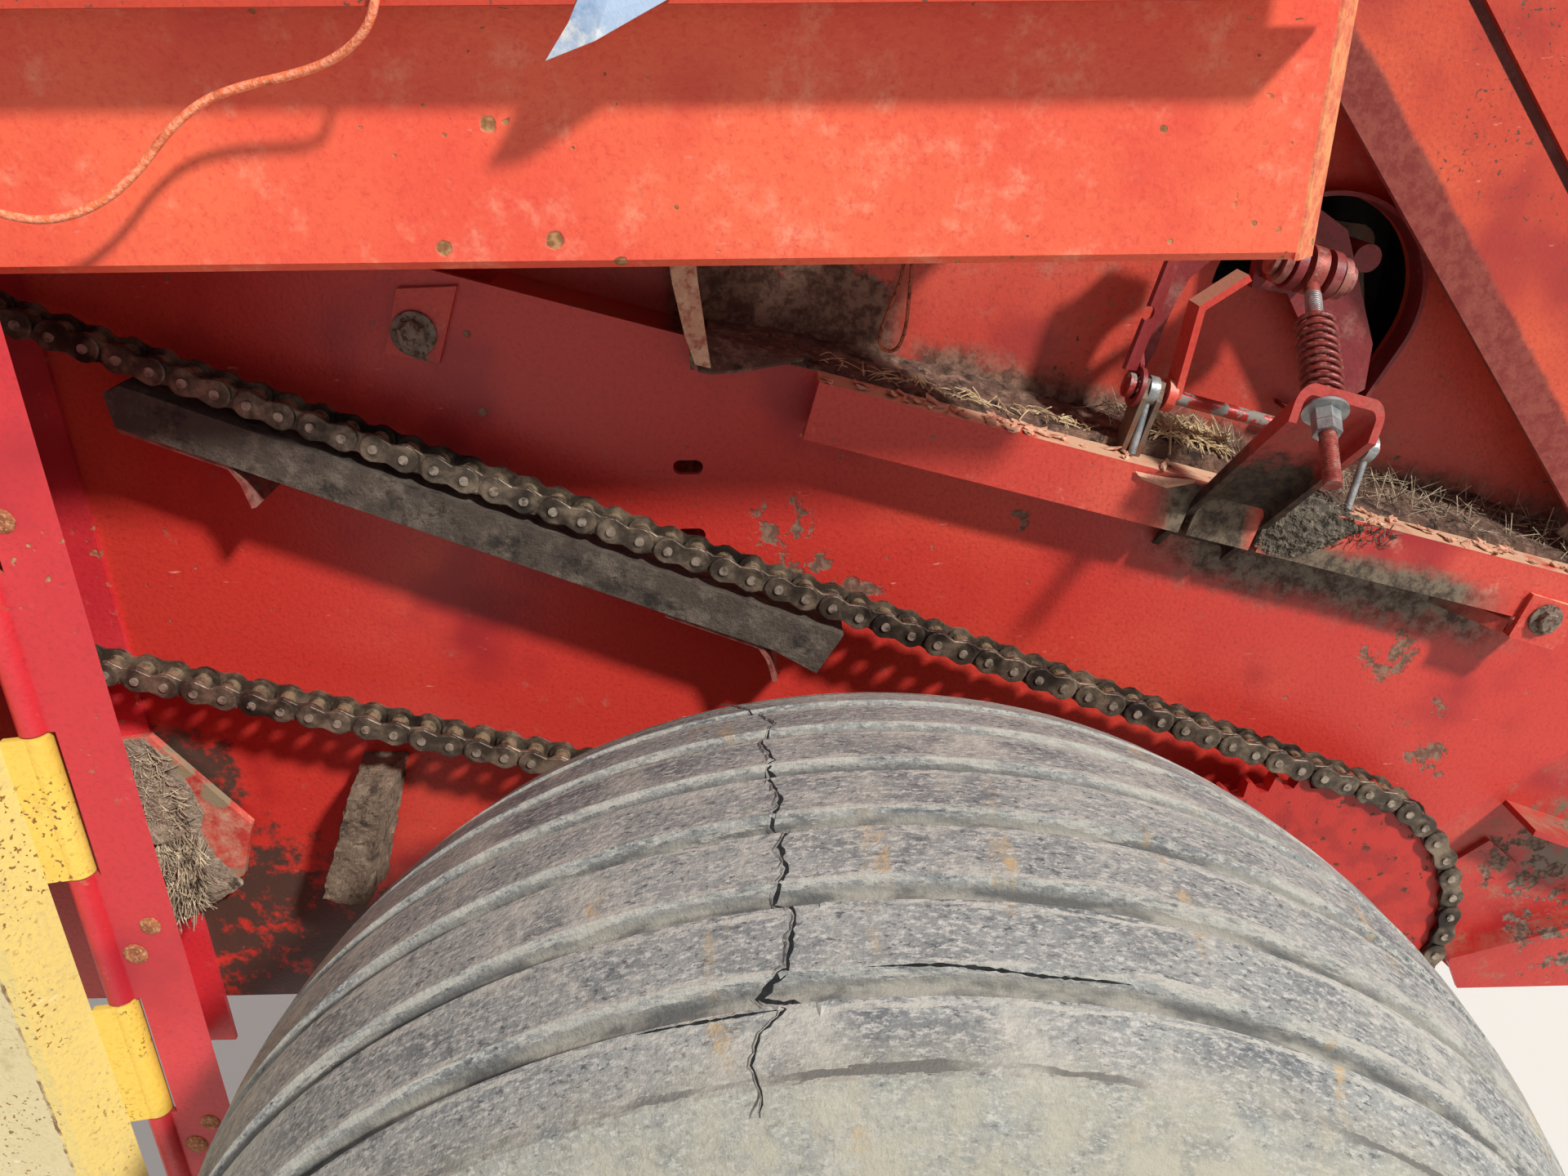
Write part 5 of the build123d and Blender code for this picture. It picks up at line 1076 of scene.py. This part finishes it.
def platePiece(name, front, thick, finish):
    # Sheet of quads given as rows of points, with a thickness and an eased edge
    across = len(front[0])
    points = [point for row in front for point in row]
    faces = []
    for i in range(len(front) - 1):
        for k in range(across - 1):
            at = i * across + k
            faces.append((at, at + 1, at + across + 1, at + across))
    piece = newObject(name, newMesh(name, points, faces))
    solid = piece.modifiers.new("wall", "SOLIDIFY")
    solid.thickness = thick
    solid.offset = 0.0
    bevel = piece.modifiers.new("edge", "BEVEL")
    bevel.width = thick * 0.3
    bevel.segments = 2
    seen = piece.evaluated_get(bpy.context.evaluated_depsgraph_get())
    mesh = bpy.data.meshes.new_from_object(seen)
    bpy.data.objects.remove(piece)
    mesh.materials.append(materials[finish])
    return newObject(name, mesh)


# Middle bracket: the pale flaking lip down its front edge, and its foot turned out over the sheet's edge
bracketLook = {"thick": 0.0024,
               "lip": [[(-0.1120, -0.0890, 0.640), (-0.0945, -0.0905, 0.640)],
                       [(-0.1090, -0.0890, 0.600), (-0.0925, -0.0905, 0.600)],
                       [(-0.1055, -0.0895, 0.570), (-0.0900, -0.0910, 0.570)],
                       [(-0.0995, -0.0915, 0.540), (-0.0865, -0.0930, 0.540)],
                       [(-0.0935, -0.0935, 0.522), (-0.0840, -0.0950, 0.520)]],
               "foot": [[(-0.0920, -0.0950, 0.5185), (-0.0840, -0.0930, 0.5160), (-0.0670, -0.0850, 0.5150),
                         (-0.0440, -0.0730, 0.5155), (-0.0260, -0.0640, 0.5160)],
                        [(-0.0925, -0.0800, 0.5250), (-0.0830, -0.0790, 0.5225), (-0.0660, -0.0750, 0.5200),
                         (-0.0430, -0.0680, 0.5185), (-0.0240, -0.0620, 0.5175)],
                        [(-0.0930, -0.0620, 0.5335), (-0.0820, -0.0610, 0.5305), (-0.0650, -0.0610, 0.5260),
                         (-0.0420, -0.0605, 0.5200), (-0.0220, -0.0600, 0.5160)]]}
bracketLip = platePiece("bracketLip", bracketLook["lip"], bracketLook["thick"], "flakedEnamel")
settle(bracketLip, "baler_side", "red_paint")
bracketFoot = platePiece("bracketFoot", bracketLook["foot"], bracketLook["thick"], "shelfGrime")
settle(bracketFoot, "baler_side", "red_paint")

# Sliver of rail paint curled off beside the tensioner, and the torn film left at the shield's foot
sliverRows = [[(0.1860, -0.0910, 0.4480), (0.2060, -0.0925, 0.4440), (0.2260, -0.0915, 0.4415)],
              [(0.1880, -0.0930, 0.4455), (0.2065, -0.0965, 0.4405), (0.2255, -0.0925, 0.4405)],
              [(0.1910, -0.0915, 0.4430), (0.2070, -0.0940, 0.4375), (0.2250, -0.0915, 0.4395)]]
paintSliver = platePiece("paintSliver", sliverRows, 0.0009, "flakedEnamel")
settle(paintSliver, "baler_side", "red_paint")
filmRows = [[(-0.126, -0.2515, 0.722), (-0.112, -0.2530, 0.724), (-0.098, -0.2520, 0.724), (-0.086, -0.2515, 0.722)],
            [(-0.132, -0.2540, 0.710), (-0.117, -0.2570, 0.713), (-0.101, -0.2550, 0.718), (-0.087, -0.2525, 0.7215)],
            [(-0.143, -0.2535, 0.6955), (-0.121, -0.2580, 0.7030), (-0.104, -0.2560, 0.7115),
             (-0.088, -0.2530, 0.7195)]]
tornFilm = platePiece("tornFilm", filmRows, 0.0006, "tornVinyl")
settle(tornFilm, "shield", "cream_paint")
print("bracket edge, sliver and film made")

# Loop of tie wire that hangs from behind the panel
tieWire = {"radius": 0.0011, "y": -0.097, "finish": "rustyWire",
           "path": [(0.030, 0.640), (0.0325, 0.600), (0.0318, 0.581), (0.0290, 0.569), (0.0235, 0.556),
                    (0.0180, 0.541), (0.0185, 0.533), (0.0245, 0.5285), (0.0310, 0.5315), (0.0345, 0.545),
                    (0.0352, 0.563), (0.0360, 0.581), (0.0375, 0.605), (0.0370, 0.640)]}
wire = bpy.data.curves.new("tieWire", "CURVE")
wire.dimensions = "3D"
bendLine = wire.splines.new("NURBS")
bendLine.points.add(len(tieWire["path"]) - 1)
for i, (x, z) in enumerate(tieWire["path"]):
    bendLine.points[i].co = (x, tieWire["y"] + 0.002 * sin(i), z, 1.0)
bendLine.order_u = 3
bendLine.use_endpoint_u = True
wire.bevel_depth = tieWire["radius"]
wire.bevel_resolution = 2
wire.resolution_u = 6
wire.use_fill_caps = True
wireCurve = newObject("tieWireCurve", wire)
seen = wireCurve.evaluated_get(bpy.context.evaluated_depsgraph_get())
wireMesh = bpy.data.meshes.new_from_object(seen)
bpy.data.objects.remove(wireCurve)
wireMesh.materials.clear()
wireMesh.materials.append(materials[tieWire["finish"]])
settle(newObject("tieWire", wireMesh), "baler_side", "dark_steel")
print("tie wire hung")

# Cracks in the tread: ragged dark ribbons of painted shadow just over the rubber, standing for the dark inside each
# crack, each with a lifted lip beside it
tread = {"radius": 0.393, "drop": 1.6, "middle": -0.3566, "first": -0.1088, "step": 0.0415, "wide": 0.013,
         "deep": 0.007, "count": 6}
cracks = {
    # Places are degrees round the wheel from its top, towards the rear, and Y in metres
    "main": {"wide": 0.0018, "places": [
        (-13.21, -0.197), (-9.5, -0.247), (-7.31, -0.2797), (-8.2, -0.2904), (-8.28, -0.3058), (-7.37, -0.3253),
        (-7.93, -0.3295), (-6.82, -0.3358), (-7.77, -0.3404), (-7.0, -0.3599), (-7.14, -0.3668),
        (-7.79, -0.3725), (-6.44, -0.3802), (-7.21, -0.3893), (-6.82, -0.4062), (-7.91, -0.4161),
        (-6.5, -0.4264), (-6.98, -0.4454), (-7.15, -0.4515), (-9.21, -0.4571), (-7.5, -0.4671),
        (-9.01, -0.4751), (-9.69, -0.4855), (-9.17, -0.4943), (-9.36, -0.5028)]},
    "firstBranch": {"wide": 0.0026, "places": [(-7.91, -0.4161), (-6.34, -0.4204), (-5.1, -0.421),
                                               (-3.32, -0.4233)]},
    "secondBranch": {"wide": 0.0034, "places": [(-9.21, -0.4571), (-6.72, -0.4613), (-5.3, -0.4643),
                                                (-4.38, -0.4652)]},
    "leftBranch": {"wide": 0.0011, "places": [(-7.5, -0.4671), (-11.87, -0.4673), (-16.41, -0.4666)]},
    "grooveSplit": {"wide": 0.0007, "places": [(-2.5, -0.4529), (2.25, -0.4529), (8.13, -0.4541),
                                               (13.72, -0.4536)]},
}
chance = Random(11)
for k in range(9):
    # Shorter cracks round the rest of the wheel, out of the photo's view
    start = 75 + k * 25 + chance.uniform(-6, 6)
    y = -0.3566 + chance.uniform(-0.09, 0.0)
    places = []
    for step in range(9):
        places.append((start + chance.uniform(-1.1, 1.1), y))
        y += chance.uniform(0.006, 0.014)
    cracks["agedCrack" + str(k)] = {"wide": 0.0018, "places": places}


def treadRadius(y):
    off = y - tread["middle"]
    sunk = 0.0
    for i in range(tread["count"]):
        at = off - tread["first"] - i * tread["step"]
        if 0 < at < tread["wide"]:
            sunk = tread["deep"] * min(1.0, at / 0.003, (tread["wide"] - at) / 0.004)
    return tread["radius"] - tread["drop"] * off * off - sunk


def crackRibbon(places, wide, chance):
    # Points of the middle line with a half width, every 2 mm or so, made ragged
    line = []
    total = len(places) - 1
    for i in range(total):
        (t0, y0), (t1, y1) = places[i], places[i + 1]
        length = ((radians(t1 - t0) * tread["radius"]) ** 2 + (y1 - y0) ** 2) ** 0.5
        steps = max(2, round(length / 0.0022))
        for k in range(steps):
            share = k / steps
            line.append((t0 + (t1 - t0) * share + chance.uniform(-0.09, 0.09), y0 + (y1 - y0) * share,
                         (i + share) / total))
    line.append((*places[-1], 1.0))
    return [(t, y, wide / 2 * max(0.12, sin(pi * at) ** 0.4) * chance.uniform(0.35, 1.5)) for t, y, at in line]


darkPoints = []
darkFaces = []
lipPoints = []
lipFaces = []
for spec in cracks.values():
    ribbon = crackRibbon(spec["places"], spec["wide"], chance)
    level = len(darkPoints)
    lipLevel = len(lipPoints)
    for i, (turned, y, half) in enumerate(ribbon):
        before, after = ribbon[max(i - 1, 0)], ribbon[min(i + 1, len(ribbon) - 1)]
        alongTurn = radians(after[0] - before[0]) * tread["radius"]
        alongY = after[1] - before[1]
        size = max((alongTurn ** 2 + alongY ** 2) ** 0.5, 1e-6)
        sideTurn, sideY = -alongY / size, alongTurn / size
        for side in (-1, 1):
            t = radians(turned) + side * half * sideTurn / tread["radius"]
            v = y + side * half * sideY
            r = treadRadius(v) + 0.0003
            darkPoints.append((r * sin(t), v, r * cos(t)))
        lift = 0.0004 + 0.5 * half * chance.uniform(0.4, 1.0)
        for far, up in ((1.0, 0.0001), (1.05, lift), (1.9, lift * 0.7), (3.2, -0.0004)):
            t = radians(turned) - far * half * sideTurn / tread["radius"]
            v = y - far * half * sideY
            r = treadRadius(v) + 0.0001 + up
            lipPoints.append((r * sin(t), v, r * cos(t)))
        if i:
            at = level + 2 * i
            darkFaces.append((at - 2, at - 1, at + 1, at))
            at = lipLevel + 4 * i
            for k in range(3):
                lipFaces.append((at - 4 + k, at + k, at + 1 + k, at - 3 + k))
for name, points, faces, finish in (("treadCracks", darkPoints, darkFaces, "crackShadow"),
                                    ("crackLips", lipPoints, lipFaces, "weatheredRubber")):
    mesh = newMesh(name, points, faces)
    shape = bmesh.new()
    shape.from_mesh(mesh)
    for face in shape.faces:
        middle = face.calc_center_median()
        face.normal_update()
        if face.normal.dot(Vector((middle.x, 0.0, middle.z))) < 0:
            face.normal_flip()
    shape.to_mesh(mesh)
    shape.free()
    mesh.materials.append(materials[finish])
    settle(newObject(name, mesh), "wheel", "tyre")
print("tread cracked")

# Stage: pale floor, soft studio light from the upper right, outboard, and a low fill from behind
floorMesh = newMesh("floor", [(-6, -6, -0.394), (6, -6, -0.394), (6, 6, -0.394), (-6, 6, -0.394)], [(0, 1, 2, 3)])
floorPaint, floorTree, floorShader = newMaterial("paleStudioFloor")
floorShader.inputs["Base Color"].default_value = colour("dad6cf")
floorShader.inputs["Roughness"].default_value = 0.9
floorMesh.materials.append(floorPaint)
newObject("floor", floorMesh)

studio = {"world": "e6ebf5", "worldStrength": 0.34,
          "lamps": [{"name": "key", "energy": 4.1, "angle": 0.09, "from": (0.54, -0.53, 0.65)},
                    {"name": "fill", "energy": 1.3, "angle": 0.9, "from": (-0.30, 0.80, 0.42)}]}
world = bpy.data.worlds.new("world")
scene.world = world
world.use_nodes = True
world.node_tree.nodes["Background"].inputs["Color"].default_value = colour(studio["world"])
world.node_tree.nodes["Background"].inputs["Strength"].default_value = studio["worldStrength"]
for spec in studio["lamps"]:
    lamp = bpy.data.lights.new(spec["name"], "SUN")
    lamp.energy = spec["energy"]
    lamp.angle = spec["angle"]
    lamp.color = (1.0, 0.98, 0.95)
    light = newObject(spec["name"], lamp)
    light.matrix_world = Vector(spec["from"]).to_track_quat("Z", "Y").to_matrix().to_4x4()
print("stage lit")
